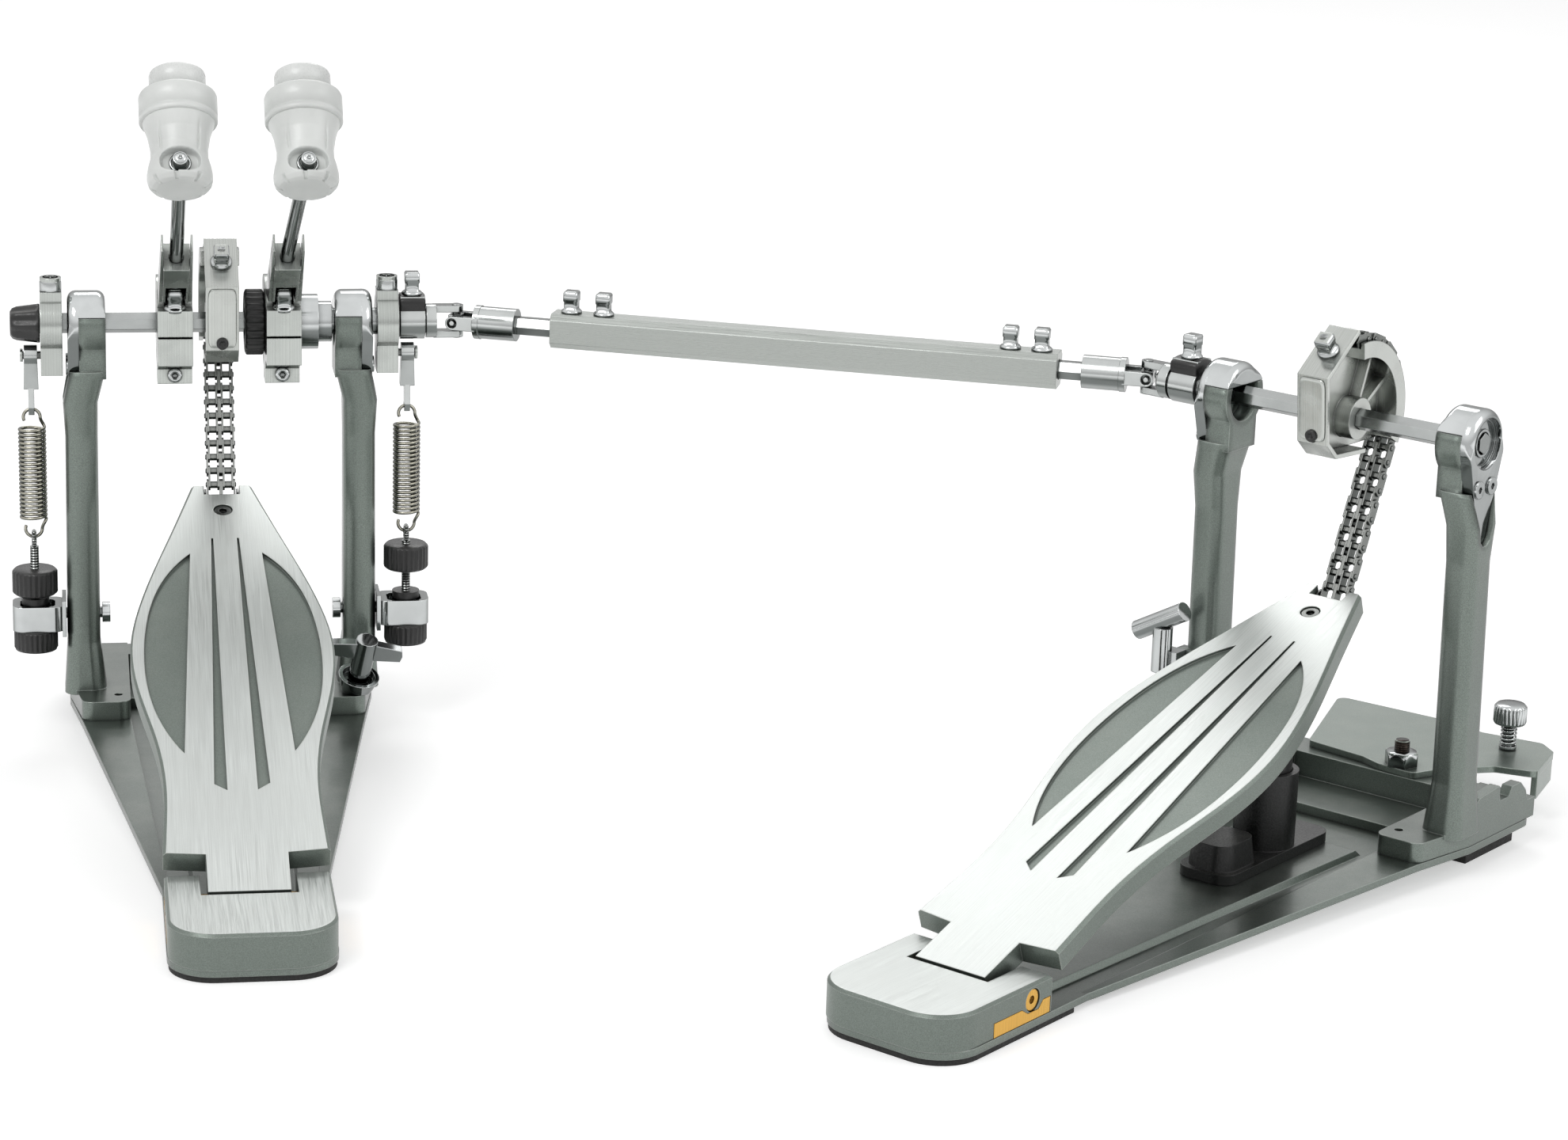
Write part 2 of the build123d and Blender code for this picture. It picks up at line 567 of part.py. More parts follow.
def make_cover():
    """Folded cover on the player's side of the wheel, with its key bolt and lower hole."""
    inner = offset_poly(COVER, -COVER_T)
    (y0, z0), (y1, z1) = COVER[0], COVER[1]
    length = hypot(y1 - y0, z1 - z0)
    ny, nz = (z1 - z0) / length, -(y1 - y0) / length
    mid = ((y0 + y1) / 2, AXIS_Z + (z0 + z1) / 2)
    with BuildPart() as cover:
        with BuildSketch(side_plane(-7.3)):
            with BuildLine():
                Polyline(*COVER, *reversed(inner), close=True)
            make_face()
        extrude(amount=14.6)
        face = Plane(origin=(0, *mid), x_dir=(1, 0, 0), z_dir=(0, ny, nz))
        with Locations(face.location):
            Cone(4.6, 3.2, 2.0, align=(Align.CENTER, Align.CENTER, Align.MIN))
            Box(5.8, 5.8, 8.6, align=(Align.CENTER, Align.CENTER, Align.MIN))
        with Locations(Location((0, -25.5, AXIS_Z - 4.5), (97, 0, 0))):
            Cylinder(1.9, 8, mode=Mode.SUBTRACT)
    return cover.part


def hexbar(x0, x1, af):
    """Hexagonal bar on the shaft axis, a flat on top."""
    with BuildPart() as bar:
        with BuildSketch(side_plane(x0)):
            RegularPolygon(af / 2, 6, major_radius=False, rotation=30)
        extrude(amount=x1 - x0)
    return bar.part


# ================================================================ beaters
def make_hub(xc, bore_af, bore_d):
    """Beater hub: clamp ring with a split lug and bolt, and the forked arm that grips the rod."""
    half = HUB_W / 2
    arm = Plane(origin=(xc, 0, AXIS_Z), x_dir=(1, 0, 0), z_dir=tuple(ROD_DIR))
    with BuildPart() as hub:
        with BuildSketch(side_plane(xc - half)):
            Circle(HUB_R)
            with Locations((-18.5, -1.5)):
                Rectangle(17, 25)
            with Locations((-3, -20)):
                Rectangle(13, 12)
        extrude(amount=HUB_W)
        # arm block and the two cheeks beside the rod
        with BuildSketch(arm.offset(14)):
            Rectangle(11.4, 13)
        extrude(amount=54)
        for s in (-1, 1):
            with BuildSketch(arm.offset(14)):
                with Locations((s * 6.55, 0)):
                    Rectangle(1.9, 14)
            with BuildSketch(arm.offset(82)):
                with Locations((s * 6.3, 0)):
                    Rectangle(0.9, 8)
            loft()
        with Locations(arm.offset(40).location):
            Cylinder(ROD_D / 2 + FIT, 60, align=(Align.CENTER, Align.CENTER, Align.MIN),
                     mode=Mode.SUBTRACT)
        # horizontal split of the front lug, and the scoop for the bolt's head
        with BuildSketch(side_plane(xc - half)):
            with Locations((-20, -1.2)):
                Rectangle(22, 0.9)
            with Locations((-25, 13.6)):
                Rectangle(14, 5.2)
        extrude(amount=HUB_W, mode=Mode.SUBTRACT)
        with Locations((xc, -21.5, AXIS_Z + 11.0)):
            Cone(4.3, 3.2, 1.8, align=(Align.CENTER, Align.CENTER, Align.MIN))
            Box(5.8, 5.8, 10.4, align=(Align.CENTER, Align.CENTER, Align.MIN))
        # lower lock screw
        with Locations(Location((xc, -9.4, AXIS_Z - 22.0), (90, 0, 0))):
            Cylinder(3.0, 1.6, align=(Align.CENTER, Align.CENTER, Align.MIN))
            Cylinder(1.4, 1.6, align=(Align.CENTER, Align.CENTER, Align.MIN), mode=Mode.SUBTRACT)
        if bore_af:
            with BuildSketch(side_plane(xc - 20)):
                RegularPolygon(bore_af / 2 + FIT, 6, major_radius=False, rotation=30)
            extrude(amount=40, mode=Mode.SUBTRACT)
        else:
            with Locations(Location((xc, 0, AXIS_Z), (0, 90, 0))):
                Cylinder(bore_d / 2 + FIT, 40, mode=Mode.SUBTRACT)
    return hub.part


def beater_axis(xc, head_x):
    """Points of the rod's centre line: straight in the hub, then splayed to the head."""
    foot = Vector(xc, 0, AXIS_Z) + ROD_DIR * 42
    knee = Vector(xc, 0, AXIS_Z) + ROD_DIR * 74
    tip = Vector(head_x, 0, AXIS_Z) + ROD_DIR * ROD_LEN
    return foot, knee, tip


def make_rod(xc, head_x):
    """Beater rod, straight in the hub and slightly splayed above it."""
    foot, knee, tip = beater_axis(xc, head_x)
    with BuildPart() as rod:
        with BuildLine() as path:
            FilletPolyline(foot, knee, tip, radius=30) if abs(head_x - xc) > 0.3 else Line(foot, tip)
        with BuildSketch(Plane(origin=foot, z_dir=ROD_DIR)):
            Circle(ROD_D / 2)
        sweep(path=path.line)
    return rod.part


def head_frame(xc, head_x):
    """Plane at the rod inside the head: x across, y along the rod, z out of the face."""
    _, knee, tip = beater_axis(xc, head_x)
    u = (tip - knee).normalized()
    side = u.cross(FACE_DIR).normalized()
    return Plane(origin=tip - u * (ROD_LEN - HEAD_U), x_dir=side, z_dir=side.cross(u))


def make_head(xc, head_x):
    """Plastic head: waisted body, ring and striking disc, rod bore and oval window."""
    f = head_frame(xc, head_x)
    prof = [(0, -8.8), (8.0, -8.8), (12.2, -6.6), (13.6, -3.2), (13.0, 1.5), (12.2, 6.0),
            (12.5, 13.0), (14.3, 22.0), (15.0, 24.5), (16.2, 25.6), (16.2, 36.4), (15.2, 37.6),
            (11.4, 37.8), (11.3, 44.0), (10.2, 45.3), (0, 45.3)]
    with BuildPart() as head:
        with BuildSketch(Plane(origin=f.origin, x_dir=f.x_dir, z_dir=-f.y_dir)):
            with BuildLine():
                Polyline(*prof, close=True)
            make_face()
        revolve(axis=Axis(f.origin, f.z_dir))
        # flat window on the upper side, round the rod's end
        with BuildSketch(Plane(origin=f.origin + f.y_dir * 6.5, x_dir=f.x_dir, z_dir=f.y_dir)):
            with Locations((0, 0)):
                Ellipse(7.6, 5.6)
        extrude(amount=12, mode=Mode.SUBTRACT)
        with Locations(Plane(origin=f.origin, z_dir=f.y_dir).location):
            Cylinder(ROD_D / 2 + FIT, 60, mode=Mode.SUBTRACT)
    return head.part


# ================================================================ spring sets
def make_rocker(s, round_bore):
    """Spring rocker clamped on the shaft's end, with its cap screw and spring pin."""
    x_in, x_out = s * 69.7, s * 79.3
    with BuildPart() as rocker:
        with BuildSketch(side_plane(min(x_in, x_out))):
            Circle(12.2)
            with Locations((0, -11.5)):
                Rectangle(14, 22)
            with Locations((0, 9.5)):
                Rectangle(11, 11)
        extrude(amount=9.6)
        with Locations((s * 74.5, 0, AXIS_Z + 15.0)):
            Cylinder(4.7, 6.0, align=(Align.CENTER, Align.CENTER, Align.MIN))
            with Locations((0, 0, 3)):
                Cylinder(2.3, 3.0, align=(Align.CENTER, Align.CENTER, Align.MIN),
                         mode=Mode.SUBTRACT)
        with Locations(Location((s * 83.4, 0, AXIS_Z - PIN_DROP), (0, 90, 0))):
            Cylinder(1.8, 10.0)
            with Locations((0, 0, s * 4.4)):
                Cylinder(3.0, 1.2)
        if round_bore:
            with Locations(Location((s * 74.5, 0, AXIS_Z), (0, 90, 0))):
                Cylinder(SLEEVE_D / 2 + FIT, 20, mode=Mode.SUBTRACT)
        else:
            with BuildSketch(side_plane(s * 74.5 - 10)):
                RegularPolygon(SHAFT_AF / 2 + FIT, 6, major_radius=False, rotation=30)
            extrude(amount=20, mode=Mode.SUBTRACT)
    return rocker.part


def make_hanger(s):
    """Swivel link: eye on the rocker's pin, stem, and the lower eye for the spring's hook."""
    x = s * SPRING_X
    hook_z = COIL_TOP + 1.0 + 2 * HOOK_R
    drop = AXIS_Z - PIN_DROP
    with BuildPart() as link:
        with BuildSketch(side_plane(x - 2.9)):
            with Locations((0, -PIN_DROP)):
                Circle(4.6)
        extrude(amount=5.8)
        with BuildSketch(Plane.XY.offset(drop - 2)):
            with Locations((x, 0)):
                Rectangle(5.8, 7.0)
        with BuildSketch(Plane.XY.offset(drop - 15)):
            with Locations((x, 0)):
                Rectangle(6.6, 6.0)
        loft()
        with BuildSketch(side_plane(x - 1.3)):
            with BuildLine():
                e = hook_z - AXIS_Z
                Polyline((-3.0, -PIN_DROP - 13), (3.0, -PIN_DROP - 13), (3.1, e + 1.0),
                         (2.2, e - 2.3), (-2.2, e - 2.3), (-3.1, e + 1.0), close=True)
            make_face()
        extrude(amount=2.6)
        with Locations(Location((x, 0, hook_z + 0.2), (0, 90, 0))):
            Cylinder(1.35, 10, mode=Mode.SUBTRACT)
        with Locations(Location((x, 0, drop), (0, 90, 0))):
            Cylinder(1.8 + RUN, 20, mode=Mode.SUBTRACT)
    return link.part


def spring_points():
    """Points along the coil and its two hooks, for measuring the wire's gap to itself."""
    pitch = (COIL_TOP - COIL_BOT) / TURNS
    pts = []
    for k in range(TURNS * 48 + 1):
        a = 2 * pi * k / 48
        pts.append((SPRING_R * cos(a), SPRING_R * sin(a), COIL_BOT + pitch * k / 48))
    return pts, pitch


def make_spring(x):
    """Extension spring: one tube, half-turn arcs for the coil, a round hook at each end."""
    pitch = (COIL_TOP - COIL_BOT) / TURNS
    r, big = SPRING_R, hypot(SPRING_R, pitch / 4)
    with BuildPart() as spring:
        with BuildLine() as wire:
            # lower hook, hanging in the plane of the coil's axis
            low, up = COIL_BOT - 1.0 - HOOK_R, COIL_TOP + 1.0 + HOOK_R
            h = HOOK_R
            Spline((-h * 0.35, 0, low + h * 0.94), (-h, 0, low), tangents=[(-1, 0, -0.3), (0, 0, -1)])
            ThreePointArc((-h, 0, low), (0, 0, low - h), (h, 0, low))
            Spline((h, 0, low), (h * 0.75, -1.6, COIL_BOT - 2.3), (r, 0, COIL_BOT),
                   tangents=[(0, 0, 1), (0, 1, 0)])
            for k in range(2 * TURNS):
                s = 1 if k % 2 == 0 else -1
                z = COIL_BOT + pitch * k / 2
                ThreePointArc((s * r, 0, z), (0, s * big, z + pitch / 4), (-s * r, 0, z + pitch / 2))
            Spline((r, 0, COIL_TOP), (h * 0.75, 1.6, COIL_TOP + 2.3), (h, 0, up),
                   tangents=[(0, 1, 0), (0, 0, 1)])
            ThreePointArc((h, 0, up), (0, 0, up + h), (-h, 0, up))
            Spline((-h, 0, up), (-h * 0.35, 0, up - h * 0.94), tangents=[(0, 0, -1), (1, 0, -0.3)])
        start = wire.line @ 0
        with BuildSketch(Plane(origin=start, z_dir=wire.line % 0)):
            Circle(WIRE_D / 2)
        sweep(path=wire.line)
    with BuildPart() as placed:
        with Locations((x, 0, 0)):
            add(spring.part)
    return placed.part


EYE_R, EYE_WIRE = 3.1, 2.2
EYE_Z = COIL_BOT - 1.0 - 2 * HOOK_R + WIRE_D / 2 + SIDE - EYE_R + EYE_WIRE / 2
BRACKET_Z0, BRACKET_Z1 = 49.8, 61.4


def make_eyebolt(s):
    """Tension bolt: eye across the spring's hook, threaded shank through the bracket."""
    x = s * SPRING_X
    with BuildPart() as eye:
        with Locations(Location((x, 0, EYE_Z), (0, 90, 0))):
            Torus(EYE_R, EYE_WIRE / 2)
        with Locations((x, 0, 41.0)):
            Cylinder(1.95, EYE_Z - EYE_R - 0.4 - 41.0, align=(Align.CENTER, Align.CENTER, Align.MIN))
    return eye.part


def make_nuts(s, upper_z):
    """Black knurled nuts above and below the bracket."""
    x = s * SPRING_X
    with BuildPart() as nuts:
        with Locations((x, 0, upper_z)):
            Cylinder(9.75, 11.5, align=(Align.CENTER, Align.CENTER, Align.MIN))
        chamfer(nuts.edges().filter_by(GeomType.CIRCLE), length=1.2)
        with Locations((x, 0, BRACKET_Z1 + 0.05)):
            Cylinder(6.2, 3.2, align=(Align.CENTER, Align.CENTER, Align.MIN))
        with Locations((x, 0, BRACKET_Z0 - 0.05)):
            Cylinder(9.3, 9.6, align=(Align.CENTER, Align.CENTER, Align.MAX))
        with Locations((x, 0, 35)):
            Cylinder(1.95 + FIT, 70, align=(Align.CENTER, Align.CENTER, Align.MIN),
                     mode=Mode.SUBTRACT)
    return nuts.part


def make_bracket(s):
    """Spring bracket: banded arm off the post's outer face, held by a cross bolt."""
    x, zc = s * SPRING_X, (BRACKET_Z0 + BRACKET_Z1) / 2
    post_out = POST_X + POST_W / 2
    with BuildPart() as bracket:
        with BuildSketch(Plane.XY.offset(BRACKET_Z0)):
            with Locations((s * (post_out + 0.8 + 94) / 2, 1.2)):
                RectangleRounded(94 - post_out - 0.8, 18, 5)
        extrude(amount=BRACKET_Z1 - BRACKET_Z0)
        with BuildSketch(Plane.XY.offset(BRACKET_Z0 + 1.8)):
            with Locations((x - s * 1.0, 0)):
                RectangleRounded(15.5, 12.5, 3)
        extrude(amount=40, mode=Mode.SUBTRACT)
        with Locations((x, 0, BRACKET_Z0)):
            Cylinder(1.95 + FIT, 8, mode=Mode.SUBTRACT)
        with Locations((s * (post_out + 1.2), 2.6, zc)):
            Box(1.8, 20, 16.5)
        with Locations(Location((s * POST_X, 3.6, 55.6), (0, 90, 0))):
            Cylinder(2.5, 17.0)
            with Locations((0, 0, -s * 10.2)):
                Cylinder(4.6, 3.6)
    return bracket.part


# ================================================================ drive shaft
def line_frame(distance):
    """Plane at a distance along the drive line from the main joint, z along the line."""
    a, b = JOINT_A, JOINT_B
    d = (b - a).normalized()
    return Plane(origin=a + d * distance, x_dir=Vector(0, 0, 1).cross(d), z_dir=d)


JOINT_A = Vector(JOINT_X, 0, AXIS_Z)
_t = radians(LEFT_TURN)
JOINT_B = Vector(LEFT_X + LEFT_JOINT_X * cos(_t), LEFT_Y + LEFT_JOINT_X * sin(_t), AXIS_Z)
DRIVE_LEN = (JOINT_B - JOINT_A).length
YOKE_IN, YOKE_OUT, PIN_R = 4.3, 7.3, 1.3


def make_clamp_yoke(mirror_x, sleeve):
    """Chrome fork on a shaft end with its split clamp collar, key bolt and cross."""
    sx = 1 if mirror_x > 0 else -1
    centre = Vector(mirror_x, 0, AXIS_Z)
    frame = Plane(origin=centre, x_dir=(0, 0, 1), z_dir=(sx, 0, 0))
    root = abs(mirror_x) - (80.2 if sleeve else 68.0)
    collar_x, reach = (sx * 85.8, 11.0) if sleeve else (sx * 78.5, 13.0)
    line = (JOINT_B - JOINT_A).normalized() if sleeve else local_turn()
    level = Vector(0, 0, 1).cross(line).normalized()
    fork = make_fork(frame, 14.0)
    with BuildPart() as yoke:
        add(fork)
        with BuildSketch(frame.offset(-14)):
            Circle(5.6 if sleeve else 6.4)
        extrude(amount=-(root - 14))
        with BuildSketch(side_plane(collar_x - reach / 2)):
            Circle(8.2)
            with Locations((0, 8)):
                Rectangle(10.5, 8)
        extrude(amount=reach)
        with Locations((collar_x, 0, AXIS_Z + 12.0)):
            Cone(4.4, 3.2, 2.0, align=(Align.CENTER, Align.CENTER, Align.MIN))
            Box(5.8, 5.8, 10.5, align=(Align.CENTER, Align.CENTER, Align.MIN))
        if not sleeve:
            with BuildSketch(side_plane(-95)):
                RegularPolygon(SHAFT_AF / 2 + FIT, 6, major_radius=False, rotation=30)
            extrude(amount=30, mode=Mode.SUBTRACT)
        # the cross: one pin held in this fork, the other level and square to the drive line
        with BuildSketch(Plane(origin=centre - Vector(0, 0, 3.0), x_dir=level, z_dir=(0, 0, 1))):
            Rectangle(2 * YOKE_IN - 1.4, 5.4)
        extrude(amount=6.0)
        with Locations(Location(Plane(origin=centre, z_dir=level))):
            Cylinder(1.1, 2 * YOKE_OUT)
        with Locations(Location(tuple(centre))):
            Cylinder(2.0, 2 * YOKE_OUT + 0.8)
    return yoke.part


def local_turn():
    """Direction of the drive line seen in the left pedal's own frame."""
    d = (JOINT_B - JOINT_A).normalized()
    c, s = cos(radians(-LEFT_TURN)), sin(radians(-LEFT_TURN))
    return Vector(d.X * c - d.Y * s, d.X * s + d.Y * c, 0)


def make_fork(frame, back, hole_r=0.0):
    """Two round-ended arms reaching to the joint's centre, and the disc they stand on.
    The frame's z points from the disc to the joint, its x from arm to arm."""
    with BuildPart() as fork:
        for s in (-1, 1):
            arm = Plane(origin=frame.origin + frame.x_dir * (s * YOKE_IN),
                        x_dir=frame.z_dir, z_dir=frame.x_dir * s)
            with BuildSketch(arm):
                with BuildLine():
                    Line((-10.5, -3.1), (0, -3.1))
                    ThreePointArc((0, -3.1), (3.1, 0), (0, 3.1))
                    Line((0, 3.1), (-10.5, 3.1))
                    Line((-10.5, 3.1), (-10.5, -3.1))
                make_face()
                if hole_r:
                    Circle(hole_r, mode=Mode.SUBTRACT)
            extrude(amount=YOKE_OUT - YOKE_IN)
        with BuildSketch(frame.offset(-9.4)):
            Circle(YOKE_OUT + 0.4)
        extrude(amount=-(back - 9.4))
    return fork.part


TUBE_FROM, TUBE_TO, ROD_IN = 46.0, 276.0, 30.0


def make_drive_rod(from_main):
    """Fork with round socket and the hexagonal rod that enters the drive tube."""
    if from_main:
        base = line_frame(0)
        frame = Plane(origin=base.origin, x_dir=base.x_dir, z_dir=-base.z_dir)
        reach = TUBE_FROM + 60
    else:
        base = line_frame(DRIVE_LEN)
        frame = Plane(origin=base.origin, x_dir=base.x_dir, z_dir=base.z_dir)
        reach = DRIVE_LEN - TUBE_TO + 60

    fork = make_fork(frame, 12.0, hole_r=2.3)
    with BuildPart() as rod:
        add(fork)
        with BuildSketch(frame.offset(-9.6)):
            Circle(7.4)
        extrude(amount=-19)
        with BuildSketch(frame.offset(-28)):
            RegularPolygon(ROD_AF / 2, 6, major_radius=False)
        extrude(amount=-(reach - 28))
    return rod.part


def make_tube():
    """Chamfered square drive tube with four key bolts along its top."""
    half, cut = TUBE_W / 2, 2.6
    with BuildPart() as tube:
        with BuildSketch(line_frame(TUBE_FROM)) as sk:
            Rectangle(TUBE_W, TUBE_W)
            chamfer(sk.vertices(), length=cut)
            Circle(4.6, mode=Mode.SUBTRACT)
        extrude(amount=TUBE_TO - TUBE_FROM)
        up = line_frame(0).y_dir if abs(line_frame(0).y_dir.Z) > 0.5 else line_frame(0).x_dir
        up = up * (1 if up.Z > 0 else -1)
        for d in (TUBE_FROM + 8, TUBE_FROM + 23, TUBE_TO - 22, TUBE_TO - 8):
            base = line_frame(d)
            with Locations(Location(Plane(origin=base.origin + up * half, x_dir=base.z_dir,
                                          z_dir=up))):
                Cone(4.2, 3.2, 2.0, align=(Align.CENTER, Align.CENTER, Align.MIN))
                Box(5.6, 5.6, 10.0, align=(Align.CENTER, Align.CENTER, Align.MIN))
    return tube.part


# ================================================================ one-off pieces
def make_sleeve():
    """Hollow right-hand shaft that turns on the main shaft's journal, with its stepped collar."""
    with BuildPart() as sleeve:
        with Locations(Location((20.0, 0, AXIS_Z), (0, 90, 0))):
            Cylinder(SLEEVE_D / 2, 59.9, align=(Align.CENTER, Align.CENTER, Align.MIN))
        with Locations(Location((35.1, 0, AXIS_Z), (0, 90, 0))):
            Cylinder(12.4, 8.3, align=(Align.CENTER, Align.CENTER, Align.MIN))
        with Locations(Location((43.3, 0, AXIS_Z), (0, 90, 0))):
            Cylinder(9.2, 6.2, align=(Align.CENTER, Align.CENTER, Align.MIN))
        with Locations(Location((19.9, 0, AXIS_Z), (0, 90, 0))):
            Cylinder(JOURNAL_D / 2 + RUN, 27, align=(Align.CENTER, Align.CENTER, Align.MIN),
                     mode=Mode.SUBTRACT)
    return sleeve.part


def make_main_shaft():
    """Hexagonal shaft with a round journal for the sleeve."""
    with BuildPart() as shaft:
        add(hexbar(-86.0, 19.4, SHAFT_AF))
        with Locations(Location((19.0, 0, AXIS_Z), (0, 90, 0))):
            Cylinder(JOURNAL_D / 2, 26, align=(Align.CENTER, Align.CENTER, Align.MIN))
    return shaft.part


def make_ribbed():
    """Black ribbed collar beside the wheel."""
    with BuildPart() as ring:
        with Locations(Location((10.8, 0, AXIS_Z), (0, 90, 0))):
            Cylinder(14.6, 8.6, align=(Align.CENTER, Align.CENTER, Align.MIN))
        chamfer(ring.edges().filter_by(GeomType.CIRCLE), length=0.8)
        with BuildSketch(side_plane(10)):
            RegularPolygon(SHAFT_AF / 2 + FIT, 6, major_radius=False, rotation=30)
        extrude(amount=12, mode=Mode.SUBTRACT)
    return ring.part


def make_knob():
    """Black end knob on the shaft."""
    with BuildPart() as knob:
        with Locations(Location((-79.5, 0, AXIS_Z), (0, -90, 0))):
            Cone(8.8, 6.9, 13.0, align=(Align.CENTER, Align.CENTER, Align.MIN))
        fillet(knob.edges().filter_by(GeomType.CIRCLE).sort_by(Axis.X)[0], radius=2.5)
        with BuildSketch(side_plane(-86.2)):
            RegularPolygon(SHAFT_AF / 2 + FIT, 6, major_radius=False, rotation=30)
        extrude(amount=10, mode=Mode.SUBTRACT)
    return knob.part


CUP = Plane(origin=(59.6, -16.4, LEDGE_TOP), x_dir=(1, 0, 0), z_dir=(0.16, -0.34, 0.92))


def make_wing():
    """Wing bolt of the hoop clamp."""
    with BuildPart() as wing:
        with Locations(CUP.offset(4.2).location):
            Cylinder(3.4, 12, align=(Align.CENTER, Align.CENTER, Align.MIN))
        with Locations(CUP.offset(7.6).location):
            Cylinder(4.9, 22, align=(Align.CENTER, Align.CENTER, Align.MIN))
        bar = CUP.offset(23.5)
        with BuildSketch(Plane(origin=bar.origin, x_dir=bar.x_dir, z_dir=bar.y_dir)) as sk:
            with BuildLine():
                Polyline((-16.5, -3.0), (-4, -4.5), (4, -4.5), (16.5, -3.0), (17.2, 0),
                         (16.5, 3.0), (4, 4.0), (-4, 4.0), (-16.5, 3.0), (-17.2, 0), close=True)
            make_face()
        extrude(amount=2.2, both=True)
    return wing.part


HOOP_Y, HOOP_PIVOT_Z = REAR_Y + 2.0, LEDGE_TOP + 4.6


def make_jaw_base():
    """Fixed pieces of the hoop clamp: lower jaw, pivot ears with the pin, and the bright cup
    on the right ledge that carries the wing bolt."""
    with BuildPart() as low:
        with BuildSketch(Plane.XY.offset(FLOOR_TOP - PLATE_T)):
            with Locations((0, REAR_Y + 16.2)):
                RectangleRounded(64, 32, 4)
        extrude(amount=PLATE_T)
        for s in (-1, 1):
            with BuildSketch(side_plane(s * 30.0)):
                with BuildLine():
                    z0 = LEDGE_TOP - AXIS_Z + 0.02
                    Polyline((REAR_Y - 17, z0), (REAR_Y - 3, z0), (REAR_Y - 6, z0 + 8.4),
                             (REAR_Y - 14, z0 + 8.4), close=True)
                make_face()
            extrude(amount=s * 3.0)
        with Locations(Location((0, REAR_Y - 10, HOOP_PIVOT_Z), (0, 90, 0))):
            Cylinder(1.5, 68)
        with BuildSketch(CUP):
            Circle(6.6)
        with BuildSketch(CUP.offset(9.0)):
            Circle(9.4)
        loft()
        with Locations(CUP.offset(9.0).location):
            Cylinder(7.4, 6, mode=Mode.SUBTRACT)
        with BuildSketch(Plane.XY.offset(LEDGE_TOP + 0.02)):
            with Locations((59.6, -16.4)):
                Rectangle(40, 40)
        extrude(amount=-12, mode=Mode.SUBTRACT)
        with Locations(CUP.location):
            Cylinder(3.4 + RUN, 40, mode=Mode.SUBTRACT)
    return low.part


def make_jaw():
    """Upper jaw that rocks on its pin and presses the drum hoop."""
    py, pz = REAR_Y - 10, HOOP_PIVOT_Z
    with BuildPart() as jaw:
        with BuildSketch(side_plane(-29.6)):
            with BuildLine():
                z = pz - AXIS_Z
                Polyline((py - 6, z - 2.4), (py + 10, z - 2.4), (py + 36, z - 4.4),
                         (py + 38, z + 0.2), (py + 30, z + 3.6), (py, z + 3.0), (py - 6, z + 1.2),
                         close=True)
            make_face()
        extrude(amount=59.2)
        with Locations(Location((0, py, pz), (0, 90, 0))):
            Cylinder(1.5 + RUN, 80, mode=Mode.SUBTRACT)
    return jaw.part


def make_coil_cup():
    """Black spring unit on the base: long foot, end block and upright cup."""
    with BuildPart() as cup:
        z0 = FLOOR_TOP + RIB_H + 0.05
        with BuildSketch(Plane.XY.offset(z0)):
            with Locations((0, -52)):
                RectangleRounded(27, 84, 8)
        extrude(amount=4.5)
        with BuildSketch(Plane.XY.offset(z0 + 4.5)):
            with Locations((0, -78)):
                RectangleRounded(22, 28, 8)
        extrude(amount=11, taper=8)
        with Locations((0, -45, z0)):
            Cylinder(13.2, 38, align=(Align.CENTER, Align.CENTER, Align.MIN))
            with Locations((0, 0, 2)):
                Cylinder(10.6, 60, align=(Align.CENTER, Align.CENTER, Align.MIN),
                         mode=Mode.SUBTRACT)
    return cup.part


def make_plunger():
    """Black plunger of the spring unit; its domed head meets the board's underside."""
    with BuildPart() as rod:
        top = BOARD_Z + (-45 - BOARD_Y) * tan(radians(BOARD_TILT)) - 3.4 / cos(radians(BOARD_TILT))
        base = 37.0
        with Locations((0, -45, base)):
            Cylinder(10.2, top - 5.6 - base, align=(Align.CENTER, Align.CENTER, Align.MIN))
        with BuildSketch(Plane.XY.offset(top - 5.6)):
            with Locations((0, -45)):
                Circle(10.2)
        with BuildSketch(Plane.XY.offset(top - 1.6)):
            with Locations((0, -43.5)):
                Circle(4.5)
        loft()
    return rod.part


STUD = (8.0, 55.0)
THUMB = (32.0, 108.0)        # thumb screw in the stay plate


def make_stay():
    """Swivelling stay plate with its hooked end and the stud and nut that it turns on."""
    z = LEDGE_TOP + 0.05
    with BuildPart() as stay:
        with BuildSketch(Plane.XY.offset(z)) as sk:
            with BuildLine():
                Polyline((-64, 122), (-40, 56), (-10, 53), (0, 49), (18, 48), (24, 62), (40, 82),
                         (58, 88), (50, 118), (40, 126), (12, 121), (-12, 125), close=True)
            make_face()
            fillet(sk.vertices(), radius=4)
            with Locations((18, 96)):
                Circle(2.2, mode=Mode.SUBTRACT)
        extrude(amount=3.0)
        # turned-down hook along the far end
        with BuildSketch(Plane.XY.offset(z + 3.0)):
            with BuildLine():
                Polyline((57.6, 89.2), (49.8, 117.4), (47.2, 116.6), (55.0, 88.4), close=True)
            make_face()
        extrude(amount=-13.0)
        with Locations((*STUD, LEDGE_TOP - 6)):
            Cylinder(3.2, 20.5, align=(Align.CENTER, Align.CENTER, Align.MIN))
        with BuildSketch(Plane.XY.offset(z + 3.0)):
            with Locations(STUD):
                RegularPolygon(6.4, 6, major_radius=False, rotation=12)
        extrude(amount=6.2)
        with Locations((*THUMB, z)):
            Cylinder(2.4 + RUN, 20, mode=Mode.SUBTRACT)
    return stay.part


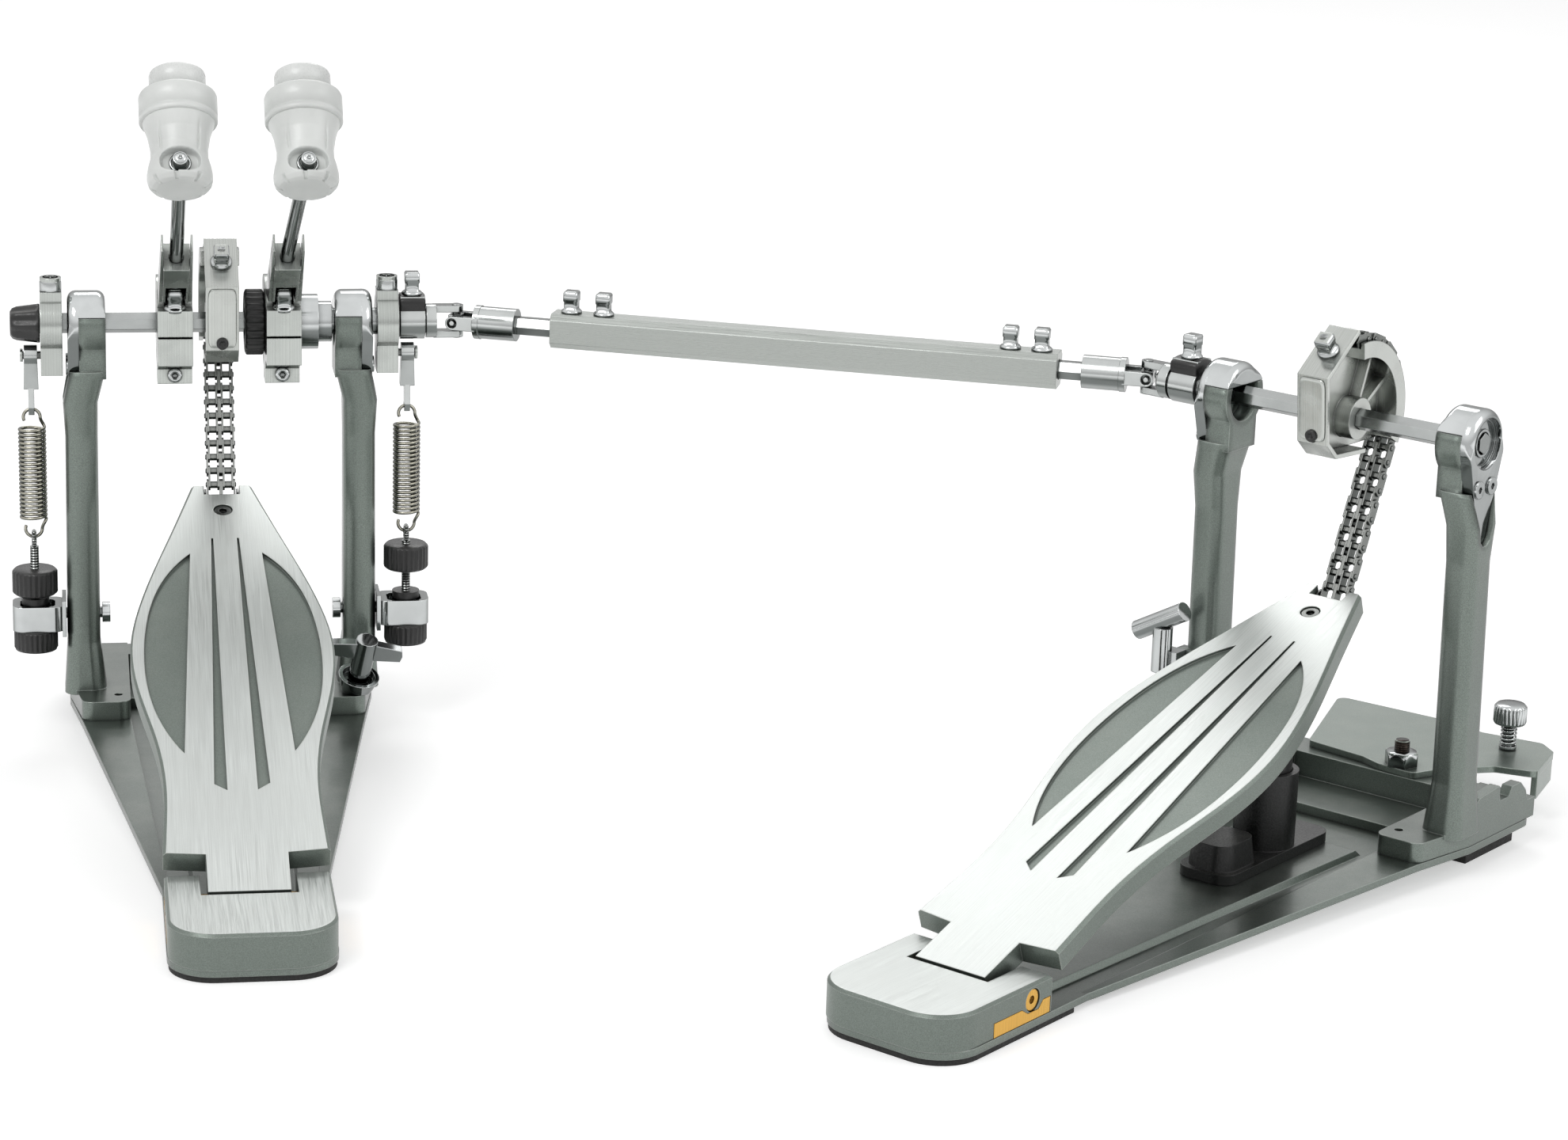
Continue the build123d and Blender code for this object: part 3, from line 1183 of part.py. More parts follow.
def make_thumb():
    """Knurled thumb screw in the stay plate."""
    z = LEDGE_TOP + 3.2
    with BuildPart() as screw:
        with Locations((*THUMB, z - 7)):
            Cylinder(2.4, 24, align=(Align.CENTER, Align.CENTER, Align.MIN))
        with Locations((*THUMB, z + 0.4)):
            Cylinder(3.9, 1.2, align=(Align.CENTER, Align.CENTER, Align.MIN))
        with Locations((*THUMB, z + 12)):
            Cylinder(6.9, 9.0, align=(Align.CENTER, Align.CENTER, Align.MIN))
        chamfer(screw.faces().sort_by(Axis.Z)[-1].edges(), length=1.0)
    return screw.part


def make_key():
    """Spare tuning key held by a black clip on the left post."""
    aim = Vector(0.80, 0.0, 0.45).normalized()
    start = Vector(-87.5, -16.5, 82.0)
    with BuildPart() as key:
        with Locations(Location(Plane(origin=start, z_dir=aim))):
            Cylinder(4.3, 27, align=(Align.CENTER, Align.CENTER, Align.MIN))
            with Locations((0, 0, -0.1)):
                Cylinder(2.9, 12, align=(Align.CENTER, Align.CENTER, Align.MIN),
                         mode=Mode.SUBTRACT)
        with Locations((-74.5, -16.5, 66.0)):
            Cylinder(4.4, 20, align=(Align.CENTER, Align.CENTER, Align.MIN))
        with Locations((-71.5, -12.52, 71.0)):
            Box(9.0, 8.0, 9.0)
    return key.part


# ================================================================ the two pedals
HEAD_X, HEAD2_X = -20.5, 32.0
sole, plate, heel, hinge, board, toe = (make_sole(), make_plate(), make_heel(), make_hinge(),
                                        make_board(), make_toe())
run, wrap = make_chain(0, CHAIN_PITCHES, True), \
    make_chain(CHAIN_PITCHES, CHAIN_PITCHES + WRAP_LINKS, False)
wheel, cover = make_wheel(), make_cover()
for side, at in (("main", MAIN_AT), ("left", LEFT_AT)):
    save(sole, f"{side}_sole", at)
    save(plate, f"{side}_base_plate", at)
    save(make_casting(side == "main"), f"{side}_casting", at)
    save(make_bearings((9.6, SLEEVE_D + 0.4) if side == "main" else (9.6, 9.6)),
         f"{side}_bearings", at)
    save(heel, f"{side}_heel_plate", at)
    save(hinge, f"{side}_hinge", at)
    save(board, f"{side}_footboard", at)
    save(toe, f"{side}_toe_bracket", at)
    save(run, f"{side}_chain", at)
    save(wrap, f"{side}_chain_wrap", at)
    save(wheel, f"{side}_wheel", at)
    save(cover, f"{side}_wheel_cover", at)
save(make_coil_cup(), "spring_unit", LEFT_AT)
save(make_plunger(), "plunger", LEFT_AT)
save(make_main_shaft(), "main_shaft")
save(hexbar(-94.0, 66.0, SHAFT_AF), "left_shaft", LEFT_AT)
save(make_knob(), "end_knob")
save(make_ribbed(), "ribbed_collar")
save(make_sleeve(), "sleeve")
for side, xc, hx, af, dia in (("left", HUB_X, HEAD_X, SHAFT_AF, 0),
                              ("right", HUB2_X, HEAD2_X, 0, SLEEVE_D)):
    save(make_hub(xc, af, dia), f"hub_{side}")
    save(make_rod(xc, hx), f"beater_rod_{side}")
    save(make_head(xc, hx), f"beater_{side}")
points, turn_rise = spring_points()
gap = min(hypot(points[i + 48][0] - points[i][0], points[i + 48][1] - points[i][1],
                points[i + 48][2] - points[i][2]) for i in range(0, 48)) - WIRE_D
print(f"side spring: {TURNS} turns, least gap of the wire to itself {gap:.2f} mm")
for side, s in (("left", -1), ("right", 1)):
    save(make_rocker(s, s > 0), f"rocker_{side}")
    save(make_hanger(s), f"spring_link_{side}")
    save(make_spring(s * SPRING_X), f"spring_{side}")
    save(make_eyebolt(s), f"tension_bolt_{side}")
    save(make_nuts(s, 66.3 if s < 0 else 75.4), f"tension_nuts_{side}")
    save(make_bracket(s), f"spring_bracket_{side}")
save(make_clamp_yoke(JOINT_X, True), "main_yoke")
save(make_clamp_yoke(LEFT_JOINT_X, False), "left_yoke", LEFT_AT)
save(make_drive_rod(True), "drive_rod_main")
save(make_drive_rod(False), "drive_rod_left")
save(make_tube(), "drive_tube")
save(make_wing(), "wing_bolt")
save(make_jaw_base(), "hoop_base")
save(make_jaw(), "hoop_jaw")
save(make_stay(), "stay_plate", LEFT_AT)
save(make_thumb(), "thumb_screw", LEFT_AT)
save(make_key(), "tuning_key", LEFT_AT)
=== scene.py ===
"""Looks of the twin bass drum pedal: finishes for its parts, finer beaters, coils and trim."""

import bmesh
import bpy
import numpy as np
from mathutils import Matrix, Vector


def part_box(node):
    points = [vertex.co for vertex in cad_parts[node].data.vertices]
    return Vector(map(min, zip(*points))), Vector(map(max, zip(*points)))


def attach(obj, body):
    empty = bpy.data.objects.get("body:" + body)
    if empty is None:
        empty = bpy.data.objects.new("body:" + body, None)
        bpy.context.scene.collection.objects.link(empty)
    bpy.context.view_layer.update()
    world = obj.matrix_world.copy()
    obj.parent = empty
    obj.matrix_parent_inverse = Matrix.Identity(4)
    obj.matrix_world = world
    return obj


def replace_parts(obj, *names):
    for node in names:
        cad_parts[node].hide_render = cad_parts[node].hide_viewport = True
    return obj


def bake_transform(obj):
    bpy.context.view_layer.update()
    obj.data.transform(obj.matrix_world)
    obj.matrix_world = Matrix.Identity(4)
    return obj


bl_info = {
    "name": "Twin Bass Drum Pedal",
    "version": (1, 0, 0),
    "blender": (4, 5, 0),
    "location": "View3D > Sidebar > Pedal",
    "description": "Finishes, coils, beaters and trim of a twin bass drum pedal",
    "category": "Object",
}

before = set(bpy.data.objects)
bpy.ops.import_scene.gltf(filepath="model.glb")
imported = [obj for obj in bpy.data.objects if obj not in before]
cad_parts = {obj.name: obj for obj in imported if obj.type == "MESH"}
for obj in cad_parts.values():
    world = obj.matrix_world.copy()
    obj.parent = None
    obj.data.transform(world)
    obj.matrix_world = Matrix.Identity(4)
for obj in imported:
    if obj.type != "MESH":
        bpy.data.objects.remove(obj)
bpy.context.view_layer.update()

# Shapes are given in millimetres in a pedal's own frame, and finishes in metres.
AXIS = 191.2                                  # height of both shafts
LEFT_TURN = np.radians(-48.38)                # how the left-foot pedal is turned on the floor
LEFT_AT = np.array([0.4635, -0.1970, 0.0])    # and where it stands, in metres
TILT = np.radians(19.3)                       # slope of the footboards
SIDES = ("main", "left")
ARMS = (("left", "main_rotor"), ("right", "right_rotor"))   # beater arms and their bodies
HUB_X = {"left": -20.5, "right": 27.2}        # stations of the hubs on the shaft
HEAD_X = {"left": -20.5, "right": 32.0}       # and of the beaters' heads
ROD = np.array([0.0, -0.798636, 0.601815])    # the rods' lean
FACE = np.array([0.0, 0.601815, 0.798636])    # out of the beaters' faces
KNEE, TIP = 74, 163                           # along a rod: its bend and its end
HEAD_BACK = 12                                # from a rod's end back to the head's axis
WHEEL_R = 34.0                                # pitch radius of the chain wheels
RUN_PITCHES = 14                              # from the toe to the pin level with the shaft
PINS = 24                                     # pins of a chain
SPRING_X = 83.8                               # side springs from the middle
CHROME = (214, 217, 217)                      # colour of the bright plating, sRGB
# (radius, height) along the axis of a beater's head: its body and the ring round it
HEAD_PROFILE = [(0, -8.7), (9.6, -8.7), (11.6, -8.1), (13.0, -6.6), (13.6, -4.4), (13.55, -2.0),
                (13.0, 1.2), (12.0, 5.0), (11.9, 9.0), (13.0, 15.5), (14.9, 21.4), (15.0, 21.9)]
RING_PROFILE = [(14.0, 21.8), (16.0, 21.9), (16.3, 22.4), (16.3, 24.2), (15.9, 24.4),
                (15.9, 24.9), (16.3, 25.1), (16.3, 33.2), (15.9, 34.2), (15.2, 34.7),
                (12.0, 34.9), (11.6, 34.5)]


# ---------------------------------------------------------------- measures and meshes
def lin(colour, factor=1.0):
    """sRGB 0-255, times a factor, to linear: ((c + 0.055) / 1.055) ** 2.4 above 0.04045."""
    c = np.minimum(np.array(colour[:3], float) * factor, 255) / 255
    c = np.where(c > 0.04045, ((c + 0.055) / 1.055) ** 2.4, c / 12.92)
    return (*[float(v) for v in c], 1.0)


def turn(vectors, side):
    """Turns directions of a pedal's own frame as the pedal is turned on the floor."""
    c, s = (1.0, 0.0) if side == "main" else (np.cos(LEFT_TURN), np.sin(LEFT_TURN))
    return np.asarray(vectors, float) @ np.array([[c, s, 0], [-s, c, 0], [0, 0, 1.0]])


def place(points, side):
    """Takes points of a pedal's own frame to their places on the floor, in metres."""
    return turn(np.asarray(points, float) / 1000, side) + (LEFT_AT if side == "left" else 0)


def axis_frame(axis, hint=(0, 0, 1)):
    """Three unit vectors u, v, w with w along the axis and u nearest the hint."""
    w = np.asarray(axis, float) / np.linalg.norm(axis)
    u = np.asarray(hint, float) - np.dot(hint, w) * w
    u /= np.linalg.norm(u)
    return u, np.cross(w, u), w


def angles(turns):
    """Evenly spaced angles round a full turn."""
    return np.linspace(0, 2 * np.pi, turns, endpoint=False)


def ease(t):
    """Smooth step: t^2 (3 - 2 t), with t held between 0 and 1."""
    t = np.clip(t, 0, 1)
    return t * t * (3 - 2 * t)


def columns(rows):
    """Rows of numbers as one upright array for each place in the row."""
    return (np.array(c)[:, None] for c in zip(*rows))


def ring_faces(rings, turns, closed=False):
    """Quads between rings of points; the end rings are capped, or joined if closed."""
    i, j = np.meshgrid(np.arange(rings if closed else rings - 1), np.arange(turns),
                       indexing="ij")
    i, j = i.ravel() * turns, j.ravel()
    i1, j1 = (i + turns) % (rings * turns), (j + 1) % turns
    faces = np.stack([i + j, i + j1, i1 + j1, i1 + j], 1).tolist()
    if not closed:
        last = (rings - 1) * turns
        faces += [list(range(turns))[::-1], list(range(last, last + turns))]
    return faces


def skin(origin, axes, x, y, h, closed=False):
    """Closed surface from rings of points: origin + x u + y v + h w.

    The rings run round w from u to v, and the first one is the lowest, so that the faces
    point outwards.
    """
    x, y, h = (c[..., None] for c in np.broadcast_arrays(x, y, h))
    u, v, w = axes
    points = np.asarray(origin, float) + x * u + y * v + h * w
    return points.reshape(-1, 3), ring_faces(*points.shape[:2], closed)


def around(origin, axes, rad, h, closed=False):
    """Skin with its points rad (u cos a + v sin a) + h w, at even angles a."""
    a = angles(rad.shape[1])
    return skin(origin, axes, rad * np.cos(a), rad * np.sin(a), h, closed)


def lathe(rows, origin, axis, hint=(0, 1, 0), turns=144, ribs=0, depth=0.0, closed=False):
    """Solid of revolution from rows (r, h) or (r, h, k), from the low end to the high end.

    Its radius is r - depth k (1 - cos(ribs a)) / 2, so that it is ribbed where k is 1.
    """
    r, h, *k = columns(rows)
    rad = r - depth * (k[0] if k else 0) * (0.5 - 0.5 * np.cos(ribs * angles(turns)))
    return around(origin, axis_frame(axis, hint), rad, h, closed)


def tube(path, side, radius, sides=12):
    """Pipe round a path: point = path + radius (n cos a + b sin a); n is given, b = t x n."""
    tangent = np.gradient(path, axis=0)
    tangent /= np.linalg.norm(tangent, axis=1)[:, None]
    n = side - (side * tangent).sum(1)[:, None] * tangent
    n /= np.linalg.norm(n, axis=1)[:, None]
    b = np.cross(tangent, n)
    a = angles(sides)[:, None]
    points = path[:, None] + radius * (np.cos(a) * n[:, None] + np.sin(a) * b[:, None])
    return points.reshape(-1, 3), ring_faces(len(path), sides)


def prism(outline, x0, x1):
    """Closed solid: a (y, z) outline carried across x from x0 to x1."""
    points = np.array([(x, y, z) for x in (x0, x1) for y, z in outline])
    return points, ring_faces(2, len(outline))


def new_mesh(name, parts, side="main"):
    """A mesh from a list of (points, faces) of a pedal's own frame."""
    mesh = bpy.data.meshes.new(name)
    faces, base = [], 0
    for points, part_faces in parts:
        faces += [[k + base for k in face] for face in part_faces]
        base += len(points)
    mesh.from_pydata(place(np.concatenate([p for p, _ in parts]), side).tolist(), [], faces)
    mesh.validate()
    return mesh


def new_object(name, data):
    """Links a new object with this data to the scene."""
    made = bpy.data.objects.new(name, data)
    bpy.context.scene.collection.objects.link(made)
    return made


def make_piece(name, parts, body, material, side="main"):
    """One smooth object from a list of (points, faces); a body of None leaves it unattached."""
    mesh = new_mesh(name, parts, side)
    mesh.shade_smooth()
    mesh.materials.append(material)
    piece = new_object(name, mesh)
    if body:
        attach(piece, body)
    return piece


def rework(mesh, change):
    """Changes a mesh by a function of its bmesh."""
    work = bmesh.new()
    work.from_mesh(mesh)
    change(work)
    work.to_mesh(mesh)
    work.free()


def join_flats(work):
    """Merges doubled points and dissolves the edges inside flat faces."""
    bmesh.ops.remove_doubles(work, verts=work.verts, dist=2e-6)
    bmesh.ops.dissolve_limit(work, angle_limit=np.radians(0.6), verts=work.verts,
                             edges=work.edges, use_dissolve_boundaries=False)


def refined(source, body, material, width=0.0, cutters=(), side="main"):
    """A CAD node's own shape, less the cutters' closed solids, with its edges rounded."""
    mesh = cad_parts[source].data.copy()
    mesh.materials.clear()
    mesh.materials.append(material)
    piece = new_object(f"{source}_refined", mesh)
    rework(mesh, join_flats)
    for part in cutters:
        cutter = new_object("cutter", new_mesh("cutter", [part], side))
        rework(cutter.data, lambda work: bmesh.ops.recalc_face_normals(work, faces=work.faces))
        cut = piece.modifiers.new("Cut", "BOOLEAN")
        cut.operation, cut.solver, cut.object = "DIFFERENCE", "EXACT", cutter
        shown = piece.evaluated_get(bpy.context.evaluated_depsgraph_get())
        mesh = bpy.data.meshes.new_from_object(shown)
        piece.modifiers.clear()
        piece.data = mesh
        bpy.data.objects.remove(cutter)
        rework(mesh, join_flats)
    crease = np.radians(32)
    if width:
        bevel = piece.modifiers.new("Rounded edges", "BEVEL")
        bevel.width, bevel.segments = width, 3
        bevel.limit_method, bevel.angle_limit = "ANGLE", crease
        bevel.miter_outer = "MITER_ARC"
    piece.data.shade_smooth()
    piece.data.set_sharp_from_angle(angle=crease)
    piece.modifiers.new("Flat faces", "WEIGHTED_NORMAL").keep_sharp = True
    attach(piece, body)
    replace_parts(piece, source)


def dress(material, *nodes):
    """Gives CAD nodes one finish."""
    for name in nodes:
        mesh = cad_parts[name].data
        mesh.materials.clear()
        mesh.materials.append(material)


# ---------------------------------------------------------------- node trees
def feed(tree, node, inputs):
    """Sets inputs, keyed by name or number, to values or links them to output sockets."""
    for key, value in inputs.items():
        if isinstance(value, bpy.types.NodeSocket):
            tree.links.new(value, node.inputs[key])
        else:
            node.inputs[key].default_value = value
    return node


def add(tree, kind, inputs=None, **props):
    """Adds a node with its properties and inputs."""
    node = tree.nodes.new(kind)
    for key, value in props.items():
        setattr(node, key, value)
    return feed(tree, node, inputs or {})


def calc(tree, operation, *values):
    """A Math node's result."""
    return add(tree, "ShaderNodeMath", dict(enumerate(values)), operation=operation).outputs[0]


def dot(tree, one, two):
    """The dot product of two vectors."""
    return add(tree, "ShaderNodeVectorMath", {0: one, 1: two},
               operation="DOT_PRODUCT").outputs[1]


def ramp(tree, value, low, high, to_low=0.0, to_high=1.0):
    """Value mapped smoothly from low..high to to_low..to_high."""
    return add(tree, "ShaderNodeMapRange", {0: value, 1: low, 2: high, 3: to_low, 4: to_high},
               interpolation_type="SMOOTHSTEP").outputs[0]


def noise(tree, vector, scale, detail, rough=0.5):
    """The value of a noise in space."""
    return add(tree, "ShaderNodeTexNoise", {"Vector": vector, "Scale": scale, "Detail": detail,
                                            "Roughness": rough}).outputs[0]


def height_of(tree, vector):
    """The z of a vector."""
    return add(tree, "ShaderNodeSeparateXYZ", {0: vector}).outputs[2]


def mix(tree, factor, one, two):
    """One colour faded into another."""
    return add(tree, "ShaderNodeMix", {0: factor, 6: one, 7: two}, data_type="RGBA").outputs[2]


def tint(tree, mask, amount, one, two):
    """One colour faded into another by a mask times an amount."""
    return mix(tree, calc(tree, "MULTIPLY", mask, amount), one, two)


def group(name, inputs, outputs):
    """A node group with named sockets; returns its tree, its inputs and its output node."""
    tree = bpy.data.node_groups.new(name, "ShaderNodeTree")
    kinds = {"f": "NodeSocketFloat", "v": "NodeSocketVector"}
    for label, kind, value in (("Vector", "v", (0, 0, 0)), *inputs):
        socket = tree.interface.new_socket(name=label, in_out="INPUT", socket_type=kinds[kind])
        socket.default_value = value
    for label, kind in outputs:
        tree.interface.new_socket(name=label, in_out="OUTPUT", socket_type=kinds[kind])
    return tree, tree.nodes.new("NodeGroupInput").outputs, tree.nodes.new("NodeGroupOutput")


def use(tree, name, where, **values):
    """Places a node group in a material with its own values; returns its outputs."""
    node = add(tree, "ShaderNodeGroup", node_tree=bpy.data.node_groups[name])
    return feed(tree, node, {"Vector": where, **values}).outputs


def build_groups():
    """Soft edges, painted corner shade, brushed lines, mottling, dust and turned rings, shared by
    the finishes.
    """
    # rounded look of an edge, and a mask that is 1 on it, broken up by noise
    t, i, o = group("Soft edge", [("Radius", "f", 0.0006), ("Width", "f", 1.0)],
                    [("Normal", "v"), ("Edge", "f")])
    bevel = add(t, "ShaderNodeBevel", {"Radius": i["Radius"]}, samples=6).outputs[0]
    flat = add(t, "ShaderNodeNewGeometry").outputs["Normal"]
    bend = calc(t, "MULTIPLY", calc(t, "SUBTRACT", 1.0, dot(t, bevel, flat)),
                noise(t, i["Vector"], 260.0, 3.0))
    feed(t, o, {"Normal": bevel,
                "Edge": ramp(t, bend, 0.004, calc(t, "DIVIDE", 0.06, i["Width"]))})

    # painted shade in the corners where pieces meet, from ambient occlusion, broken up by noise
    t, i, o = group("Corner grime", [("Reach", "f", 0.005)], [("Grime", "f")])
    shut = add(t, "ShaderNodeAmbientOcclusion", {"Distance": i["Reach"]}, samples=6)
    patch = noise(t, i["Vector"], 190.0, 3.0)
    feed(t, o, {"Grime": calc(t, "MULTIPLY", ramp(t, shut.outputs["AO"], 0.92, 0.25),
                              ramp(t, patch, 0.1, 0.5, 0.7, 1.0))})

    # lines that run along one direction
    t, i, o = group("Brushed lines", [("Along", "v", (0, 1, 0)), ("Scale", "f", 1500.0)],
                    [("Lines", "f"), ("Bands", "f")])
    back = add(t, "ShaderNodeVectorMath", {
        0: i["Along"], "Scale": calc(t, "MULTIPLY", dot(t, i["Vector"], i["Along"]), 0.99)},
        operation="SCALE").outputs[0]
    squeezed = add(t, "ShaderNodeVectorMath", {0: i["Vector"], 1: back},
                   operation="SUBTRACT").outputs[0]
    feed(t, o, {"Lines": ramp(t, noise(t, squeezed, i["Scale"], 2.0, 0.65), 0.3, 0.7),
                "Bands": ramp(t, noise(t, squeezed, calc(t, "MULTIPLY", i["Scale"], 0.12), 2.0),
                              0.3, 0.7)})

    # rings round an axis, as a lathe leaves them
    t, i, o = group("Turned rings", [("Axis", "v", (1, 0, 0)), ("Scale", "f", 2500.0)],
                    [("Rings", "f")])
    ring = add(t, "ShaderNodeTexNoise", {"W": dot(t, i["Vector"], i["Axis"]),
                                         "Scale": i["Scale"], "Detail": 2.0},
               noise_dimensions="1D").outputs[0]
    feed(t, o, {"Rings": ramp(t, ring, 0.35, 0.65)})

    # cloudy unevenness with fine grain, for cast, painted and moulded faces
    t, i, o = group("Mottle", [("Cloud", "f", 14.0), ("Grain", "f", 900.0)],
                    [("Cloud", "f"), ("Grain", "f")])
    feed(t, o, {label: ramp(t, noise(t, i["Vector"], i[label], detail), 0.3, 0.7)
                for label, detail in (("Cloud", 3.0), ("Grain", 2.0))})

    # dust that settles where a face looks up
    t, i, o = group("Settled dust", [("Amount", "f", 0.1)], [("Dust", "f")])
    up = height_of(t, add(t, "ShaderNodeNewGeometry").outputs["Normal"])
    dust = calc(t, "MULTIPLY", ramp(t, up, 0.5, 1.0),
                ramp(t, noise(t, i["Vector"], 45.0, 5.0, 0.7), 0.35, 0.75))
    feed(t, o, {"Dust": calc(t, "MULTIPLY", dust, i["Amount"])})


# ---------------------------------------------------------------- finishes
def finish(name, **sockets):
    """A new material with one Principled BSDF; returns material, tree, shader, coordinates."""
    material = bpy.data.materials.new(name)
    material.use_nodes = True
    tree = material.node_tree
    shader = tree.nodes["Principled BSDF"]
    feed(tree, shader, {key.replace("_", " "): value for key, value in sockets.items()})
    return material, tree, shader, add(tree, "ShaderNodeTexCoord").outputs["Object"]


def surface(tree, shader, colour, rough, height, depth, normal):
    """Feeds the shader its colour, roughness and a bump of height x depth over a normal."""
    bump = add(tree, "ShaderNodeBump", {"Height": height, "Distance": depth, "Strength": 1.0,
                                        "Normal": normal}).outputs[0]
    feed(tree, shader, {"Base Color": colour, "Roughness": rough, "Normal": bump})


def dim(tree, colour, normal, dark, amount, start=0.45):
    """Paints shade into a colour: fades it to a darker one where the face turns away from the
    viewer.
    """
    away = add(tree, "ShaderNodeLayerWeight", {"Blend": 0.5, "Normal": normal}).outputs["Facing"]
    return tint(tree, ramp(tree, away, start, 0.98), amount, colour, dark)


def paint_corner_shade(tree, where, colour, dark):
    """Paints shade into a colour in the corners where pieces meet."""
    return tint(tree, use(tree, "Corner grime", where)[0], 0.8, colour, dark)


def painted(name, colour, stem=0.0, fade=0.8):
    """Satin metallic paint: flake grain, faint clouds, rubbed edges with a painted highlight,
    painted shade where the face turns away and in the corners, a little dust.

    From about 45 mm up, where the posts are, the edges are rounded off by the radius stem.
    """
    m, t, s, where = finish(name, Metallic=0.8, Coat_Weight=0.3, Coat_Roughness=0.14)
    soft = use(t, "Soft edge", where, Radius=0.0008, Width=0.8)
    normal = soft["Normal"]
    if stem:
        high = ramp(t, height_of(t, where), 0.036, 0.060)
        wide = add(t, "ShaderNodeBevel", {"Radius": stem}, samples=8).outputs[0]
        normal = add(t, "ShaderNodeMix", {0: high, 4: normal, 5: wide},
                     data_type="VECTOR").outputs[1]
    mottle = use(t, "Mottle", where, Cloud=16.0, Grain=2600.0)
    dust = use(t, "Settled dust", where, Amount=0.10)[0]
    base = mix(t, mottle["Grain"], lin(colour, 0.90), lin(colour, 1.10))
    base = tint(t, mottle["Cloud"], 0.25, base, lin(colour, 0.93))
    # painted shade: the colour darkens where the face turns away from the viewer, by the amount
    # fade
    base = dim(t, base, normal, lin(colour, 0.42), fade, 0.35)
    # edges lighter: rubbed paint with a painted highlight
    base = tint(t, soft["Edge"], 0.45, base, lin((196, 202, 196)))
    base = mix(t, dust, base, lin((190, 188, 180)))
    # painted shade in the corners where pieces meet
    surface(t, s, paint_corner_shade(t, where, base, lin(colour, 0.4)),
            ramp(t, mottle["Cloud"], 0.0, 1.0, 0.30, 0.38), mottle["Grain"], 0.000006, normal)
    return m


def brushed(name, colour, along):
    """Brushed aluminium: fine lines along one direction, softened edges."""
    m, t, s, where = finish(name, Metallic=0.9)
    normal = use(t, "Soft edge", where, Radius=0.0006, Width=1.0)["Normal"]
    lines = use(t, "Brushed lines", where, Along=along, Scale=3200.0)
    base = mix(t, lines["Lines"], lin(colour, 0.91), lin(colour))
    base = tint(t, lines["Bands"], 0.35, base, lin(colour, 0.95))
    surface(t, s, base, ramp(t, lines["Lines"], 0.0, 1.0, 0.24, 0.42), lines["Lines"],
            0.000010, normal)
    return m


def turned(name, colour, axis=(1, 0, 0), metallic=1.0):
    """Machined metal: tool rings along its axis, satin, with broken edges, and painted shade where
    the face turns away and in the corners.
    """
    m, t, s, where = finish(name, Metallic=metallic)
    normal = use(t, "Soft edge", where, Radius=0.0006, Width=1.0)["Normal"]
    rings = use(t, "Turned rings", where, Axis=axis, Scale=2400.0)[0]
    cloud = use(t, "Mottle", where, Cloud=60.0, Grain=2000.0)["Cloud"]
    base = mix(t, rings, lin(colour, 0.93), lin(colour))
    base = tint(t, cloud, 0.2, base, lin(colour, 0.92))
    # painted shade where the face turns away from the viewer
    base = dim(t, base, normal, lin(colour, 0.4), 0.8)
    # painted shade in the corners where pieces meet
    surface(t, s, paint_corner_shade(t, where, base, lin(colour, 0.3)), ramp(t, cloud, 0.0, 1.0, 0.18, 0.32),
            rings, 0.000006, normal)
    return m


def threaded(name, colour, axis, pitch):
    """Steel with a thread: a wave along the axis, one crest to each pitch in millimetres."""
    m, t, s, where = finish(name, Metallic=1.0)
    wave = calc(t, "PINGPONG", dot(t, where, axis), pitch / 2000)
    height = calc(t, "MULTIPLY", wave, 2000 / pitch)
    # painted shade: the thread's roots are darker
    surface(t, s, mix(t, height, lin(colour, 0.45), lin(colour)), 0.25, height, 0.0004,
            add(t, "ShaderNodeNewGeometry").outputs["Normal"])
    return m


def plated(name, colour=CHROME, rough=0.06):
    """Bright plating: near mirror, with faint polishing haze and soft edges, and with painted dark
    reflections where the face turns away and of a horizon band, and painted shade in the corners.
    """
    m, t, s, where = finish(name, Metallic=1.0)
    normal = use(t, "Soft edge", where, Radius=0.0005, Width=1.0)["Normal"]
    cloud = use(t, "Mottle", where, Cloud=70.0, Grain=3200.0)["Cloud"]
    base = mix(t, cloud, lin(colour), lin(colour, 0.95))
    # painted dark reflection where the face turns away from the viewer
    base = dim(t, base, normal, lin((38, 45, 42)), 1.0, 0.22)
    # painted dark reflection of a horizon band, on faces that look somewhat downwards
    low = height_of(t, normal)
    horizon_reflection = calc(t, "MULTIPLY", ramp(t, low, -0.85, -0.45), ramp(t, low, 0.08, -0.16))
    base = tint(t, horizon_reflection, 0.75, base, lin((60, 68, 65)))
    # painted shade in the corners where pieces meet
    surface(t, s, paint_corner_shade(t, where, base, lin((44, 50, 47))),
            ramp(t, cloud, 0.0, 1.0, rough, rough + 0.07), cloud, 0.000012, normal)
    return m


def moulded(name, colour, rough=0.45, grain=1400.0, depth=0.00002, coat=0.0):
    """Moulded plastic or rubber: fine surface grain, slight clouding, dust on top, and lighter
    edges, worn and with a painted highlight.
    """
    m, t, s, where = finish(name, Coat_Weight=coat, Coat_Roughness=0.2)
    soft = use(t, "Soft edge", where, Radius=0.0006, Width=1.0)
    mottle = use(t, "Mottle", where, Cloud=40.0, Grain=grain)
    dust = use(t, "Settled dust", where, Amount=0.08)[0]
    base = mix(t, mottle["Cloud"], lin(colour), lin(colour, 0.95))
    # edges lighter: wear and a painted highlight
    base = tint(t, soft["Edge"], 0.15, base, lin([c * 1.1 + 20 for c in colour]))
    base = mix(t, dust, base, lin((196, 194, 186)))
    surface(t, s, base, ramp(t, mottle["Grain"], 0.0, 1.0, rough - 0.06, rough + 0.08),
            mottle["Grain"], depth, soft["Normal"])
    return m


